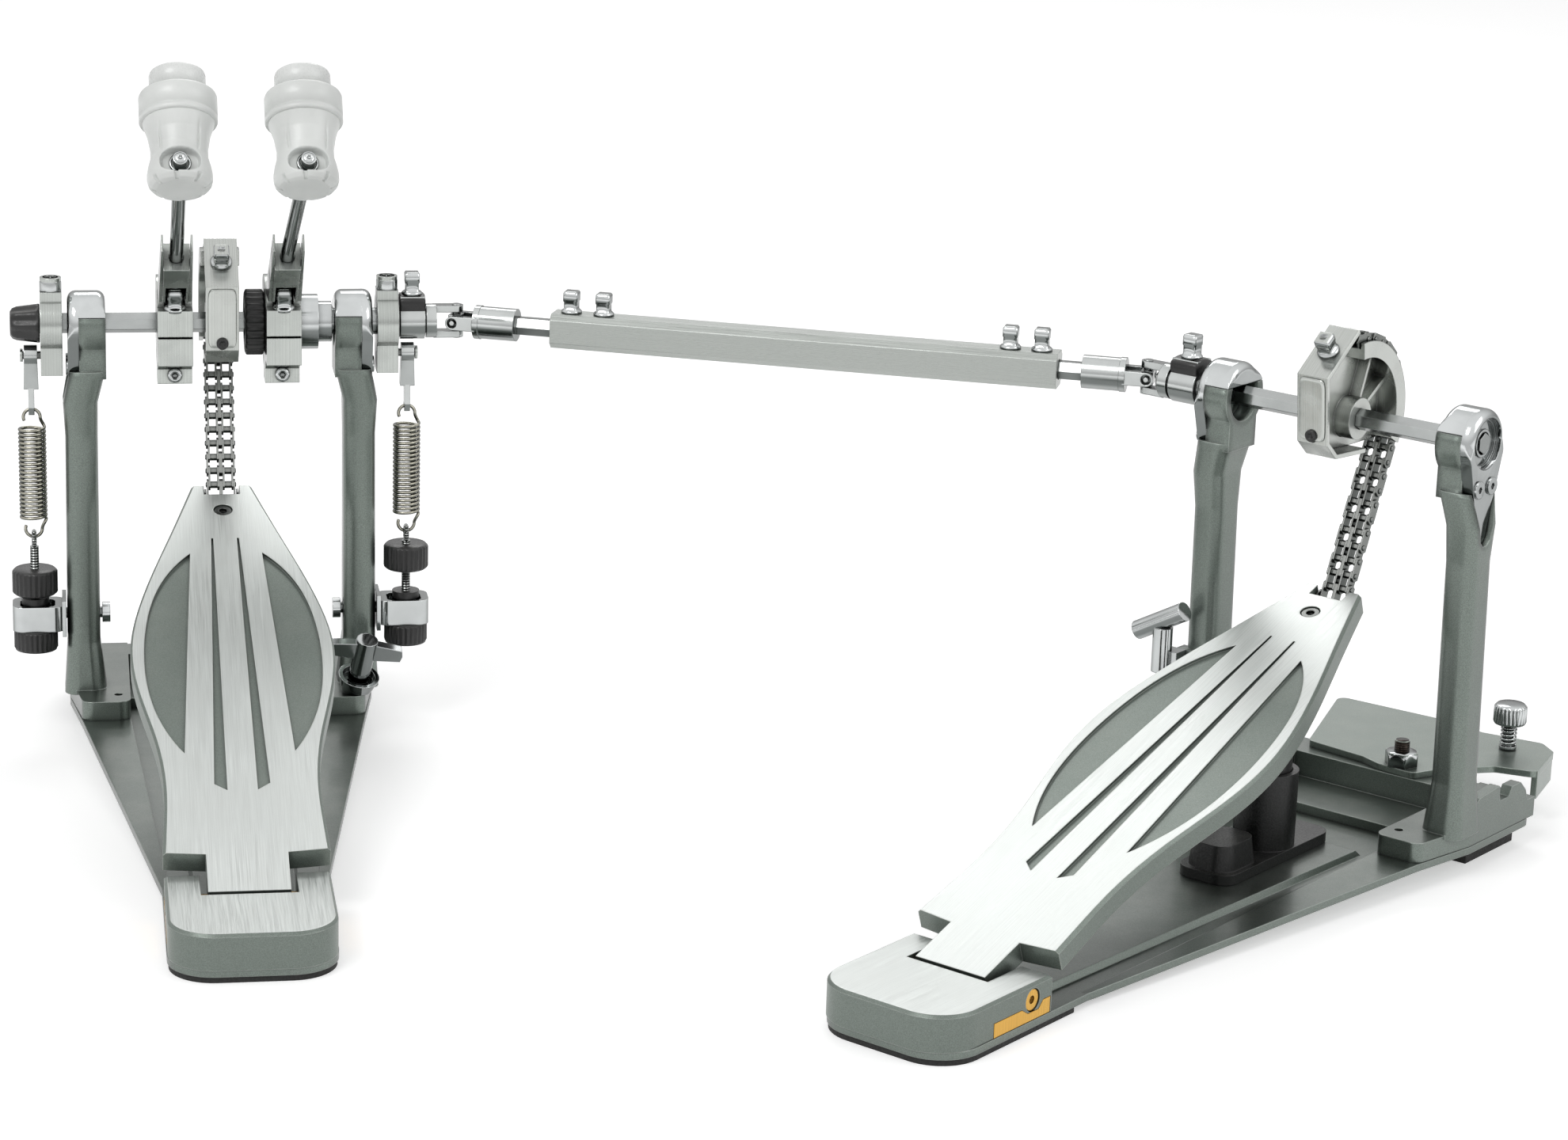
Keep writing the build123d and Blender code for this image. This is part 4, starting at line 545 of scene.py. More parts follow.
def two_tone(name, side, light, grey, tilt, top):
    """Brushed on a raised top face, painted on the sides and in the sunk channels.

    The face is tilted about x and goes through the point top; its height is p . n less
    that of the point. Above the skin's level and facing n the metal is brushed light along
    the part, and everything else is grey metallic paint.
    """
    n, along = turn([[0, -np.sin(tilt), np.cos(tilt)], [0, np.cos(tilt), np.sin(tilt)]], side)
    level = float(np.dot(place(top, side), n))
    m, t, s, where = finish(name)
    soft = use(t, "Soft edge", where, Radius=0.0007, Width=0.8)
    lines = use(t, "Brushed lines", where, Along=tuple(along), Scale=3200.0)
    mottle = use(t, "Mottle", where, Cloud=22.0, Grain=2600.0)
    dust = use(t, "Settled dust", where, Amount=0.06)[0]
    height = calc(t, "SUBTRACT", dot(t, where, tuple(n)), level)
    facing = dot(t, add(t, "ShaderNodeTexCoord").outputs["Normal"], tuple(n))
    upper = calc(t, "MULTIPLY", ramp(t, height, -0.0006, -0.0002), ramp(t, facing, 0.93, 0.97))
    bright = mix(t, lines["Lines"], lin(light, 0.90), lin(light))
    bright = tint(t, lines["Bands"], 0.3, bright, lin(light, 0.95))
    bright = tint(t, mottle["Cloud"], 0.5, bright, lin(light, 0.93))
    base = mix(t, upper, mix(t, mottle["Grain"], lin(grey, 0.92), lin(grey, 1.08)), bright)
    # edges lighter: wear and a painted highlight
    base = tint(t, soft["Edge"], 0.5, base, lin((222, 226, 220)))
    base = mix(t, dust, base, lin((190, 188, 180)))
    feed(t, s, {"Metallic": ramp(t, upper, 0.0, 1.0, 0.5, 0.8)})
    rough = mix(t, upper, (0.38, 0.38, 0.38, 1), ramp(t, lines["Lines"], 0, 1, 0.30, 0.46))
    # painted shade in the corners where pieces meet
    surface(t, s, paint_corner_shade(t, where, base, lin(grey, 0.45)), rough,
            calc(t, "MULTIPLY", lines["Lines"], upper), 0.000010, soft["Normal"])
    return m


# ---------------------------------------------------------------- shapes of the pieces
def smooth_profile(profile, per):
    """Profile with so many points to the millimetre, so that a dent can be pressed into it."""
    p = np.asarray(profile, float)
    d = np.concatenate([[0], np.cumsum(np.hypot(*np.diff(p, axis=0).T))])
    t = np.linspace(0, d[-1], int(d[-1] * per))
    return np.stack([np.interp(t, d, p[:, 0]), np.interp(t, d, p[:, 1])], 1)


def head_origin(which):
    """Rod's crossing of the head's axis, and the head's three directions."""
    knee = np.array([HUB_X[which], 0, AXIS]) + ROD * KNEE
    tip = np.array([HEAD_X[which], 0, AXIS]) + ROD * TIP
    u = (tip - knee) / np.linalg.norm(tip - knee)
    side = np.cross(u, FACE)
    side /= np.linalg.norm(side)
    return tip - u * HEAD_BACK, side, u, np.cross(side, u)


def beater_body(which):
    """Waisted body with a dent for the rod's end.

    A lathe of r(h) round the head's axis; where the oval m(across, h) is 1 the surface is
    pressed back to 6.7 mm in front of the axis: y' = y (1 - m) + 6.7 m. Two shallow grooves
    and eight slots in the skirt are pressed in the same way.
    """
    origin, side, u, axis = head_origin(which)
    r, h = columns(smooth_profile(HEAD_PROFILE, 3.0))
    a = -angles(384)
    slot = np.clip((0.10 - np.abs(((a / (2 * np.pi) * 8 + 0.32) % 1) - 0.5)) / 0.03, 0, 1)
    low = np.clip((-5.6 - h) / 0.4, 0, 1) * np.clip((r - 10.2) / 0.5, 0, 1)
    r = np.maximum(r, 0.05) - 1.9 * slot * low
    across, out = r * np.sin(a), r * np.cos(a)
    front = out > 0
    oval = 1 - (np.abs(across / 8.7) ** 2.6 + np.abs((h + 0.2) / 5.7) ** 2.6) ** (1 / 2.6)
    dent = ease(oval * 6.5) * front
    out = out * (1 - dent) + 6.7 * dent
    groove = np.clip(1.3 - np.abs(np.abs(across) - 7.2 - 0.06 * h) / 0.5, 0, 1) * front
    groove = groove * np.clip((h - 5.0) / 2, 0, 1) * np.clip((19.0 - h) / 7, 0, 1)
    return skin(origin, (side, u, axis), across, out - 0.9 * groove, h)


def key_bolt(base, up=(0, 0, 1), along=(1, 0, 0), size=5.9, height=10.2):
    """Drum-key bolt: flange, square shank and stepped square head.

    Radius at angle a is r / (|cos a|^n + |sin a|^n)^(1/n), a rounded square for n = 9 and
    a circle for n = 2.
    """
    half, flange = size / 2, 4.7
    r, h, n = columns([
        (0.1, 0, 2), (flange, 0, 2), (flange, 1.0, 2), (flange - 0.5, 1.5, 2),
        (half + 0.12, 1.9, 9), (half + 0.12, height * 0.52, 9), (half + 0.45, height * 0.56, 9),
        (half + 0.45, height - 0.7, 9), (half - 0.2, height + 0.05, 9),
        (half - 1.3, height + 0.1, 4), (0.1, height + 0.1, 2)])
    a = angles(40)
    rad = r / (np.abs(np.cos(a)) ** n + np.abs(np.sin(a)) ** n) ** (1 / n)
    return around(base, axis_frame(up, along), rad, h)


def socket_screw(base, up, radius, height, socket=0.5):
    """Round-headed screw with a hexagonal socket: the inner wall's radius is that of a hexagon."""
    r, h, six = columns([
        (radius, -0.2, 0), (radius, 0, 0), (radius, height * 0.65, 0),
        (radius * 0.9, height * 0.93, 0), (radius * 0.72, height, 0),
        (radius * socket, height, 1), (radius * socket * 0.93, height * 0.3, 1),
        (0.02, height * 0.3, 1)])
    hexagon = np.cos(np.pi / 6) / np.cos((angles(48) % (np.pi / 3)) - np.pi / 6)
    return around(base, axis_frame(up, (1, 0, 0)), r * np.where(six > 0, hexagon, 1.0), h)


def rounded_plate(centre, out, half_x, half_y, thick):
    """Plate with round corners: its outline is |x / a|^8 + |y / b|^8 = 1, broken at the top."""
    a = angles(96)
    rad = (np.abs(np.cos(a)) ** 8 + np.abs(np.sin(a)) ** 8) ** (-1 / 8)
    h, inset = columns([(-0.2, 0), (thick - 0.35, 0), (thick - 0.1, 0.15), (thick, 0.45),
                        (thick, 1.4)])
    return skin(centre, axis_frame(out, (1, 0, 0)), (half_x - inset) * rad * np.cos(a),
                (half_y - inset) * rad * np.sin(a), h)


def hex_nut(base, flats, height, bore):
    """Hexagonal nut: radius flats / cos(a from the nearest flat), its corners cut by a cone."""
    turned_by = np.radians(12)
    six = 1 / np.cos((angles(72) % (np.pi / 3)) - np.pi / 6)
    r, h, k = columns([(bore, 0, 0), (flats, 0, 1), (flats, height - 0.9, 1),
                       (flats, height, 0), (bore, height, 0)])
    hint = (np.cos(turned_by), np.sin(turned_by), 0)
    return around(base, axis_frame((0, 0, 1), hint), r * (1 + k * (six - 1)), h)


def hermite(p0, t0, p1, t1, n=14):
    """Points between p0 and p1 on the cubic that leaves along t0 and arrives along t1."""
    s = np.linspace(0, 1, n, endpoint=False)[1:, None]
    return ((2 * s**3 - 3 * s**2 + 1) * p0 + (s**3 - 2 * s**2 + s) * t0
            + (3 * s**2 - 2 * s**3) * p1 + (s**3 - s**2) * t1)


def coil_path(x, z0, z1, radius, turns, hook):
    """Extension spring's line, hook, coil and hook, and the way out of its axis along it.

    The coil is (r cos a, r sin a, z0 + p a / 2 pi); each hook is a circle in the x-z plane
    through the coil's axis, joined to the coil by a cubic Hermite curve.
    """
    a = np.linspace(0, 2 * np.pi * turns, turns * 40 + 1)
    coil = np.stack([radius * np.cos(a), radius * np.sin(a), z0 + (z1 - z0) * a / a[-1]], 1)
    up, low = z1 + 1.0 + hook, z0 - 1.0 - hook
    b = np.radians(np.linspace(0, 205, 40))
    high = np.stack([hook * np.cos(b), 0 * b, up + hook * np.sin(b)], 1)
    down = np.stack([hook * np.cos(b), 0 * b, low - hook * np.sin(b)], 1)[::-1]
    along_coil, along_hook = np.array([0, 8.0, 1.0]), np.array([0, 0, 5.0])
    one = hermite(coil[-1], along_coil, high[0], along_hook)
    two = hermite(down[-1], along_hook, coil[0], along_coil)
    path = np.concatenate([down, two, coil, one, high])
    centre = np.concatenate([np.tile([0, 0, low], (len(down), 1)), two * [0, 0, 1],
                             coil * [0, 0, 1], one * [0, 0, 1],
                             np.tile([0, 0, up], (len(high), 1))])
    return path + [x, 0, 0], path - centre


def clamp_band(x, half):
    """Black lug over a shaft's clamp: a sunk ring r(a) that rises at the top, where a is 0."""
    lug = ease(2.2 - np.abs((angles(96) + np.pi) % (2 * np.pi) - np.pi) * 2.4)
    h, r, rise = columns([(-half, 6.5, 0), (-half, 7.2, 5.0), (0.7 - half, 7.4, 5.2),
                          (half - 0.7, 7.4, 5.2), (half, 7.2, 5.0), (half, 6.5, 0)])
    return around((x, 0, AXIS), axis_frame((1, 0, 0)), r + lug * rise, h)


def chain_points():
    """Pin centres (y, z) of the chain, straight up from the toe and then round the wheel."""
    toe = np.array([0.8, 109.1])
    dy, dz = toe[0], toe[1] - AXIS
    leave = np.arctan2(dz, dy) + np.arccos(WHEEL_R / np.hypot(dy, dz))
    top = np.array([WHEEL_R * np.cos(leave), AXIS + WHEEL_R * np.sin(leave)])
    run = np.hypot(*(top - toe))
    d = np.arange(PINS)[:, None] * (run - leave * WHEEL_R) / RUN_PITCHES
    a = leave + (d - run) / WHEEL_R
    arc = np.concatenate([WHEEL_R * np.cos(a), AXIS + WHEEL_R * np.sin(a)], 1)
    return np.where(d <= run, toe + d / run * (top - toe), arc)


def pin_heads(first, last):
    """Rounded heads of the chain's pins on both its sides."""
    rows = [(0.02, 0.0), (1.25, 0.0), (1.2, 0.35), (0.8, 0.55), (0.02, 0.6)]
    return [lathe(rows, (s * 6.33, y, z), (s, 0, 0), turns=12)
            for y, z in chain_points()[first:last] for s in (-1, 1)]


def cap_corner(x, s, first):
    """Solid outside a bearing cap's rounded corner, carried round the shaft's axis.

    Its section is a square corner less a quarter circle of radius c(a), which grows from
    nothing at the first and last angles (degrees from +y) to the full radius between them.
    """
    radius, cap = 3.8, 14.6
    a = np.radians(np.linspace(first, 180 - first, 49))[:, None]
    c = 0.04 + radius * ease(np.minimum(a - a[0], a[-1] - a) / np.radians(32))
    q = np.radians(np.linspace(0, 90, 8))[None, :]
    one = np.ones_like(a)
    along = np.hstack([(x + s) * one, (x + s) * one, x - s * c + s * c * np.cos(q), x - s * c])
    out = np.hstack([(cap + 1.5) * one, cap - c, cap - c + c * np.sin(q), (cap + 1.5) * one])
    return skin((0, 0, AXIS), np.eye(3), along, out * np.cos(a), out * np.sin(a))


# ---------------------------------------------------------------- what a user may change
class PedalSizes(bpy.types.PropertyGroup):
    """Sizes of the trim that the operators add."""
    wire: bpy.props.FloatProperty(name="Spring wire", default=0.0015, unit="LENGTH",
                                  description="Diameter of the side springs' wire")
    coil_turns: bpy.props.IntProperty(name="Spring turns", default=22, min=6,
                                      description="Turns of each side spring")
    disc: bpy.props.FloatProperty(name="Striking disc", default=0.0118, unit="LENGTH",
                                  description="Radius of a beater's white striking disc")


class PedalColours(bpy.types.PropertyGroup):
    """Main colours of the pedal's finishes."""
    paint: bpy.props.FloatVectorProperty(name="Castings", subtype="COLOR", size=3,
                                         default=(0.465, 0.50, 0.475), min=0, max=1,
                                         description="Grey-green paint of castings and plates")
    board: bpy.props.FloatVectorProperty(name="Boards", subtype="COLOR", size=3,
                                         default=(0.84, 0.855, 0.845), min=0, max=1,
                                         description="Brushed tops of the boards")
    beater: bpy.props.FloatVectorProperty(name="Beaters", subtype="COLOR", size=3,
                                          default=(0.925, 0.935, 0.925), min=0, max=1,
                                          description="Moulded bodies of the beaters")


def shade(key):
    """A user colour as 0-255 numbers."""
    return [float(c) * 255 for c in getattr(bpy.context.scene.pedal_colours, key)]


class PEDAL_OT_frames(bpy.types.Operator):
    """Finishes the base plates, castings, bearings, soles and hinge blocks"""
    bl_idname = "pedal.frames"
    bl_label = "Frames"

    def execute(self, context):
        paint = shade("paint")
        dress(painted("Grey-green paint", paint), "main_base_plate", "left_base_plate")
        # a lighter copy of the casting paint with less painted grazing shade: a painted highlight
        # on the stay plate
        dress(painted("Stay plate paint", [c * 1.12 for c in paint], fade=0.15), "stay_plate")
        dress(painted("Casting paint", paint, 0.0055), "main_casting", "left_casting")
        dress(moulded("Sole rubber", (34, 34, 33), 0.7, 900.0, 0.00006), "main_sole", "left_sole")
        chrome = plated("Bearing chrome")
        dress(chrome, "spring_bracket_left", "spring_bracket_right")
        for side in SIDES:
            corners = [cap_corner(s * x, s * way, first)
                       for s in (-1, 1) for x, way, first in ((67.5, 1, -26), (50.7, -1, 21))]
            refined(f"{side}_bearings", f"{side}_frame", chrome, cutters=corners,
                    side=side)
        dress(turned("Gold anodised block", (226, 176, 84), metallic=0.95), "main_hinge",
              "left_hinge")
        return {"FINISHED"}


class PEDAL_OT_boards(bpy.types.Operator):
    """Finishes the footboards, heel plates and toe brackets"""
    bl_idname = "pedal.boards"
    bl_label = "Footboards"

    def execute(self, context):
        for side in SIDES:
            colours = side, shade("board"), shade("paint")
            dress(two_tone(f"{side} footboard", *colours, TILT, (0, -270.7, 21.0)),
                  f"{side}_footboard")
            dress(two_tone(f"{side} heel plate", *colours, 0, (0, -280, 20.5)),
                  f"{side}_heel_plate")
        dress(turned("Toe bracket steel", (112, 114, 112)), "main_toe_bracket",
              "left_toe_bracket")
        return {"FINISHED"}


class PEDAL_OT_drives(bpy.types.Operator):
    """Finishes the wheels, chains, shafts, hubs and rockers"""
    bl_idname = "pedal.drives"
    bl_label = "Wheels and chains"

    def execute(self, context):
        dress(plated("Chain steel", (158, 160, 157), 0.24), "main_chain", "left_chain",
              "main_chain_wrap", "left_chain_wrap")
        dress(plated("Shaft steel", (190, 193, 192), 0.14), "main_shaft", "left_shaft")
        dress(plated("Sleeve chrome", CHROME, 0.08), "sleeve", "beater_rod_left",
              "beater_rod_right")
        hub = turned("Hub aluminium", (190, 194, 190))
        black = moulded("Collar plastic", (30, 30, 30), 0.38, coat=0.15)
        chrome = plated("Bolt chrome", CHROME, 0.07)
        rim = [(6.5, 0, 0), (13.4, 0, 0), (14.5, 0.5, 0.6), (14.8, 1.0, 1),
               (14.8, 7.6, 1), (14.5, 8.1, 0.6), (13.4, 8.6, 0), (6.5, 8.6, 0)]
        knob = [(0.05, 0, 0), (8.4, 0, 0), (8.8, 0.5, 0), (8.7, 2.0, 1), (7.7, 10.0, 1),
                (6.9, 12.0, 0.4), (5.4, 13.0, 0), (0.05, 13.0, 0)]
        wheels = {}
        for which, body in ARMS:
            x = HUB_X[which]
            pocket = [(-11.5, 202.25), (-30, 202.25), (-45.4, 214.1), (-37, 225.3), (-13, 207.2)]
            refined(f"hub_{which}", body, hub, 0.0010, [prism(pocket, x - 4.5, x + 4.5)])
            refined(f"rocker_{which}", body, hub, 0.0012)
        for side in SIDES:
            wheels[side] = turned(f"{side} wheel aluminium", (196, 199, 195),
                                  tuple(turn([1, 0, 0], side)))
            dress(wheels[side], f"{side}_wheel")
            refined(f"{side}_wheel_cover", f"{side}_rotor", wheels[side], 0.0012)
        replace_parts(make_piece("ribbed_collar_rim", [
            lathe(rim, (10.8, 0, AXIS), (1, 0, 0), turns=192, ribs=24, depth=1.3, closed=True)],
            "main_rotor", black), "ribbed_collar")
        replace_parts(make_piece("end_knob_grip", [
            lathe(knob, (-79.5, 0, AXIS), (-1, 0, 0), ribs=8, depth=1.1)],
            "main_rotor", black), "end_knob")
        for which, body in ARMS:
            make_piece(f"hub_bolts_{which}", [
                key_bolt((HUB_X[which], -23.2, 202.0), (0, -0.18, 0.98)),
                socket_screw((HUB_X[which], -9.3, 169.2), (0, -1, 0), 3.3, 2.2)],
                body, chrome)
        for (which, body), x in zip(ARMS, (-74.5, 74.5)):
            make_piece(f"rocker_screw_{which}", [
                socket_screw((x, 0, 206.1), (0, 0, 1), 4.85, 6.1, 0.55)], body, chrome)
        out = np.array([0, -0.993, -0.118])
        for side, wheel in wheels.items():
            body, run = f"{side}_rotor", f"{side}_chain_run"
            make_piece(f"{side}_cover_bolt", [
                key_bolt((0, -18.75, 222.2), (0.0, -0.586, 0.810), height=8.5)],
                body, chrome, side)
            make_piece(f"{side}_cover_panel", [
                rounded_plate((0, -28.75, 199.2), out, 6.2, 13.6, 0.8)],
                body, wheel, side)
            make_piece(f"{side}_panel_screw", [
                socket_screw(out + (0, -27.4, 187.8), out, 2.6, 1.0, 0.6)],
                body, black, side)
            steel = plated(f"{side} pin steel", (150, 152, 150), 0.2)
            make_piece(f"{side}_run_pins", pin_heads(1, 14), run, steel, side)
            make_piece(f"{side}_wrap_pins", pin_heads(15, 23), body, steel, side)
        return {"FINISHED"}


class PEDAL_OT_beaters(bpy.types.Operator):
    """Makes the beaters: waisted bodies, rings, white discs and the rods' chrome ends"""
    bl_idname = "pedal.beaters"
    bl_label = "Beaters"

    def execute(self, context):
        edge = context.scene.pedal_sizes.disc * 1000
        disc = [(0.01, 34.6), (edge, 34.6), (edge, 43.4), (edge - 0.4, 44.5), (edge - 1.2, 45.1),
                (6.0, 45.3), (0.01, 45.3)]
        end = [(0.01, 6.2), (4.6, 6.2), (4.6, 7.4), (4.2, 7.8), (3.6, 7.8), (3.4, 6.6),
               (3.1, 6.6), (3.1, 10.8), (2.7, 11.9), (1.8, 12.6), (0.9, 12.8), (0.8, 12.1),
               (0.01, 12.1)]
        shell = moulded("Beater plastic", shade("beater"), 0.36, 1800.0, 0.00001, 0.2)
        white = moulded("Striking disc plastic", (240, 242, 240), 0.3, 900.0, 0.00001, 0.2)
        chrome = plated("Rod end chrome", CHROME, 0.05)
        for which, body in ARMS:
            origin, _, u, axis = head_origin(which)
            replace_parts(make_piece(f"beater_{which}_body", [beater_body(which)], body,
                                   shell), f"beater_{which}")
            make_piece(f"beater_{which}_ring", [lathe(RING_PROFILE, origin, axis, u, 96)], body,
                       shell)
            make_piece(f"beater_{which}_disc", [lathe(disc, origin, axis, u, 96)], body,
                       white)
            make_piece(f"beater_{which}_rod_end", [lathe(end, origin, u, axis, 48)], body,
                       chrome)
        return {"FINISHED"}


class PEDAL_OT_springs(bpy.types.Operator):
    """Makes the side springs with their hooks, and the ribbed nuts below them"""
    bl_idname = "pedal.springs"
    bl_label = "Side springs"

    def execute(self, context):
        sizes = context.scene.pedal_sizes
        steel = plated("Spring steel", (186, 183, 170), 0.2)
        black = moulded("Nut plastic", (32, 32, 32), 0.42, coat=0.15)
        dress(plated("Link chrome", (206, 209, 208), 0.1), "spring_link_left",
              "spring_link_right")
        dress(threaded("Threaded steel", (176, 179, 177), (0, 0, 1), 1.25), "tension_bolt_left",
              "tension_bolt_right")
        dress(black, "tension_nuts_left", "tension_nuts_right")
        dress(moulded("Plunger plastic", (17, 18, 18), 0.42, 1200.0, 0.00003, 0.1),
              "spring_unit", "plunger")
        upper = [(3.0, -11.6, 0), (9.0, -11.6, 0), (9.9, -10.8, 0), (10.2, -10.4, 1),
                 (10.2, -1.2, 1), (9.9, -0.8, 0), (9.0, 0.05, 0), (3.0, 0.1, 0)]
        lower = [(3.0, -0.1, 0), (8.9, -0.05, 0), (9.5, 0.7, 0), (9.85, 1.1, 1),
                 (9.85, 8.4, 1), (9.5, 8.8, 0), (8.8, 9.5, 0), (3.0, 9.5, 0)]
        for which, s in (("left", -1), ("right", 1)):
            path, out = coil_path(s * SPRING_X, 101.2, 143.6, 5.55, sizes.coil_turns, 3.7)
            coil = make_piece(f"side_spring_{which}", [tube(path, out, sizes.wire * 500)],
                              None, steel)
            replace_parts(coil, f"spring_{which}")
            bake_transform(coil)
            bottom, top = (corner[2] * 1000 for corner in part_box(f"tension_nuts_{which}"))
            make_piece(f"ribbed_nuts_{which}", [
                lathe(rows, (s * SPRING_X, 0, z), (0, 0, 1), turns=156, ribs=26, depth=0.55)
                for rows, z in ((upper, top), (lower, bottom))], "main_frame", black)
        return {"FINISHED"}


class PEDAL_OT_shafts(bpy.types.Operator):
    """Finishes the telescopic drive shaft and its universal joints"""
    bl_idname = "pedal.shafts"
    bl_label = "Drive shaft"

    def execute(self, context):
        along = np.array([0.922259, -0.386573, 0.0])
        dress(brushed("Drive tube aluminium", (180, 184, 180), tuple(along)), "drive_tube")
        dress(plated("Joint chrome", (206, 209, 208), 0.12), "main_yoke", "left_yoke",
              "drive_rod_main", "drive_rod_left")
        chrome = bpy.data.materials["Bolt chrome"]
        make_piece("drive_tube_bolts", [
            key_bolt((106, 0, AXIS + 7.8) + along * d, along=along, size=5.8, height=10.0)
            for d in (54, 69, 254, 268)], "drive", chrome)
        black = moulded("Clamp plastic", (28, 28, 28), 0.4, coat=0.1)
        for side, x, half, body in (("main", 85.8, 5.7, "right_rotor"),
                                    ("left", -78.5, 6.7, "left_rotor")):
            make_piece(f"{side}_clamp_band", [clamp_band(x, half)], body, black, side)
            make_piece(f"{side}_clamp_bolt", [key_bolt((x, 0, 203.4), height=10.3)], body,
                       chrome, side)
        return {"FINISHED"}


class PEDAL_OT_fittings(bpy.types.Operator):
    """Finishes the hoop clamp, wing bolt, thumb screw, stay nut and tuning key"""
    bl_idname = "pedal.fittings"
    bl_label = "Clamps and screws"

    def execute(self, context):
        chrome = plated("Fitting chrome", CHROME, 0.07)
        dress(chrome, "wing_bolt", "thumb_screw", "hoop_base", "tuning_key")
        dress(painted("Jaw paint", [c * 1.1 for c in shade("paint")]), "hoop_jaw")
        head = [(4.0, 36.7, 0), (6.5, 36.75, 0), (7.1, 37.2, 0), (7.45, 37.9, 1), (7.45, 44.3, 1),
                (7.1, 45.0, 0), (6.2, 45.85, 0), (2.0, 45.9, 0)]
        make_piece("thumb_screw_grip", [
            lathe(head, (32.0, 108.0, 0), (0, 0, 1), turns=208, ribs=26, depth=0.6)],
            "thumb_screw", chrome, "left")
        make_piece("stay_nut", [hex_nut((8.0, 55.0, 24.6), 6.5, 6.35, 3.3)], "stay",
                   chrome, "left")
        bolt = [(0.05, 0), (3.35, 0), (3.35, 4.6), (2.9, 5.25), (0.05, 5.25)]
        make_piece("stay_stud", [lathe(bolt, (8.0, 55.0, 30.9), (0, 0, 1), turns=64)], "stay",
                   threaded("Dark stud", (70, 62, 56), (0, 0, 1), 1.0), "left")
        a = np.linspace(0, 2 * np.pi * 5, 201)
        ring = np.stack([3.3 * np.cos(a), 3.3 * np.sin(a)], 1)
        height = np.interp(a / (2 * np.pi), [0, 0.8, 4.2, 5], [27.2, 28.0, 34.2, 35.0])
        path = np.column_stack([ring + [32.0, 108.0], height])
        make_piece("thumb_screw_coil", [tube(path, np.column_stack([ring, 0 * a]), 0.45, 8)],
                   "thumb_screw", chrome, "left")
        return {"FINISHED"}


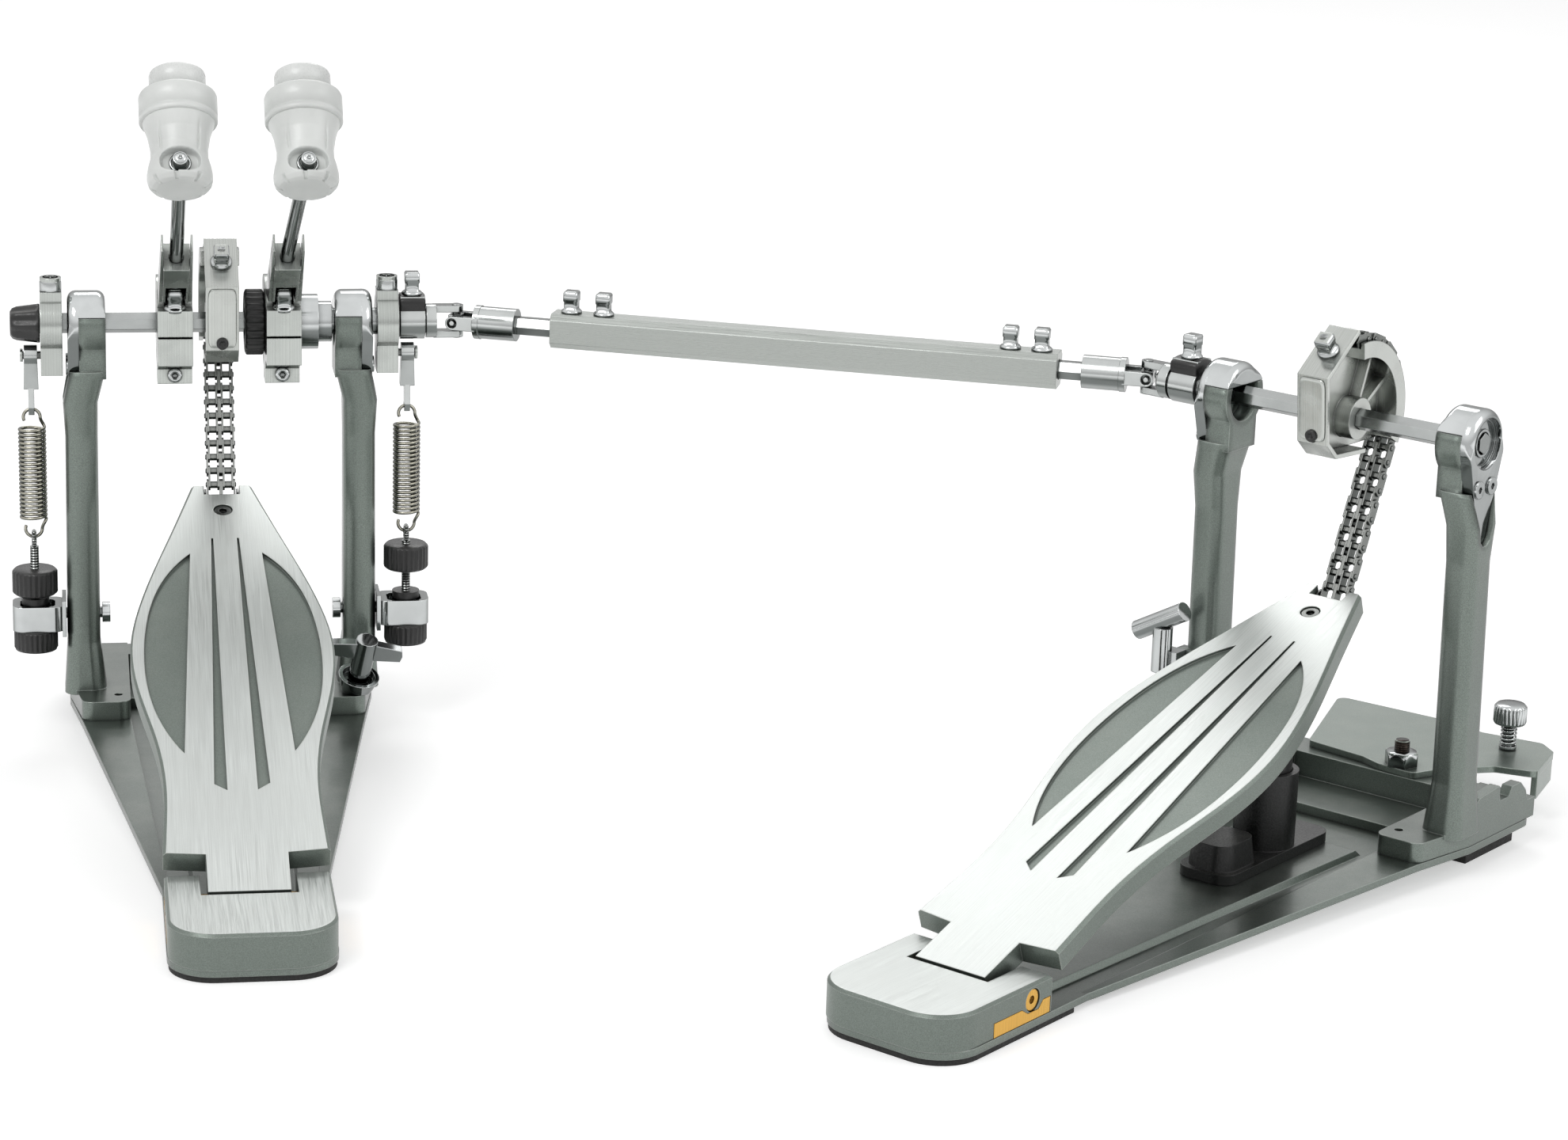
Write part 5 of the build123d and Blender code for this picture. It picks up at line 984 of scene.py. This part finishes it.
class PEDAL_OT_stage(bpy.types.Operator):
    """Adds the pale floor, the lamps, the world and the camera"""
    bl_idname = "pedal.stage"
    bl_label = "Stage"

    def execute(self, context):
        scene = context.scene
        scene.view_settings.view_transform = "Standard"
        floor, t, s, _ = finish("Pale floor", Roughness=0.9, Specular_IOR_Level=0.1)
        rays = add(t, "ShaderNodeLightPath").outputs
        seen = calc(t, "MAXIMUM", rays["Is Camera Ray"], calc(
            t, "MAXIMUM", rays["Is Glossy Ray"], rays["Is Transmission Ray"]))
        feed(t, s, {"Base Color": (0.86, 0.86, 0.86, 1), "Emission Color": (1, 1, 1, 1),
                    "Emission Strength": calc(t, "MULTIPLY", seen, 0.45)})
        mesh = bpy.data.meshes.new("floor")
        mesh.from_pydata([(-7, -7, 0), (7, -7, 0), (7, 7, 0), (-7, 7, 0)], [], [(0, 1, 2, 3)])
        mesh.materials.append(floor)
        new_object("floor", mesh)

        world = bpy.data.worlds.new("Studio")
        scene.world = world
        world.use_nodes = True
        t = world.node_tree
        rays = add(t, "ShaderNodeLightPath").outputs
        up = height_of(t, add(t, "ShaderNodeTexCoord").outputs["Generated"])
        shown = calc(t, "MAXIMUM", rays["Is Camera Ray"], rays["Is Transmission Ray"])
        level = mix(t, rays["Is Glossy Ray"], (0.46, 0.46, 0.46, 1), ramp(t, up, 0, 0.45, 0.62))
        feed(t, t.nodes["Background"], {"Color": mix(t, shown, level, (1, 1, 1, 1)),
                                        "Strength": 1.0})

        for name, at, aim, size, power in (
                ("key lamp", (-1.3, -1.5, 2.3), (0.15, -0.1, 0.05), (1.5, 1.1), 26),
                ("fill lamp", (1.9, -1.2, 1.4), (0.2, -0.1, 0.1), (1.3, 1.3), 8),
                ("rim lamp", (0.4, 1.9, 1.9), (0.2, -0.1, 0.1), (1.6, 0.7), 12)):
            lamp = bpy.data.lights.new(name, "AREA")
            lamp.shape = "RECTANGLE"
            lamp.size, lamp.size_y = size
            lamp.energy = power
            stand = new_object(name, lamp)
            stand.location = at
            stand.rotation_euler = (Vector(aim) - Vector(at)).to_track_quat("-Z", "Y").to_euler()

        yaw, rise, roll = np.radians((-10.34, 15.97, 1.85))
        back = np.array([np.sin(yaw) * np.cos(rise), -np.cos(yaw) * np.cos(rise), np.sin(rise)])
        level = np.cross(-back, (0, 0, 1.0))
        level /= np.linalg.norm(level)
        upright = np.cross(level, -back)
        right = np.cos(roll) * level + np.sin(roll) * upright
        top = np.cos(roll) * upright - np.sin(roll) * level
        camera = bpy.data.cameras.new("camera")
        camera.sensor_width = 36
        camera.lens = 5127 / 1980 * camera.sensor_width     # focal length over frame width
        camera.clip_start, camera.clip_end = 0.1, 30
        view = new_object("camera", camera)
        at = (-0.0670, -1.7943, 0.5927)
        view.matrix_world = Matrix([*zip(right, top, back, at), (0, 0, 0, 1)])
        scene.camera = view
        return {"FINISHED"}


OPERATORS = (PEDAL_OT_frames, PEDAL_OT_boards, PEDAL_OT_drives, PEDAL_OT_beaters,
             PEDAL_OT_springs, PEDAL_OT_shafts, PEDAL_OT_fittings, PEDAL_OT_stage)


class PEDAL_PT_panel(bpy.types.Panel):
    """Sidebar panel with the pedal's sizes, colours and operators"""
    bl_idname = "PEDAL_PT_panel"
    bl_label = "Twin pedal"
    bl_space_type = "VIEW_3D"
    bl_region_type = "UI"
    bl_category = "Pedal"

    def draw(self, context):
        for settings in (context.scene.pedal_sizes, context.scene.pedal_colours):
            for key in type(settings).__annotations__:
                self.layout.prop(settings, key)
        for operator in OPERATORS:
            self.layout.operator(operator.bl_idname)


CLASSES = (PedalSizes, PedalColours, *OPERATORS, PEDAL_PT_panel)


def register():
    """Registers the classes and hangs the settings on the scene."""
    for cls in CLASSES:
        bpy.utils.register_class(cls)
    bpy.types.Scene.pedal_sizes = bpy.props.PointerProperty(type=PedalSizes)
    bpy.types.Scene.pedal_colours = bpy.props.PointerProperty(type=PedalColours)


def unregister():
    """Takes the settings and classes away again."""
    del bpy.types.Scene.pedal_sizes, bpy.types.Scene.pedal_colours
    for cls in reversed(CLASSES):
        bpy.utils.unregister_class(cls)


def main():
    """Builds every finish and piece in order."""
    register()
    build_groups()
    for operator in OPERATORS:
        space, name = operator.bl_idname.split(".")
        getattr(getattr(bpy.ops, space), name)()


if __name__ == "__main__":
    main()
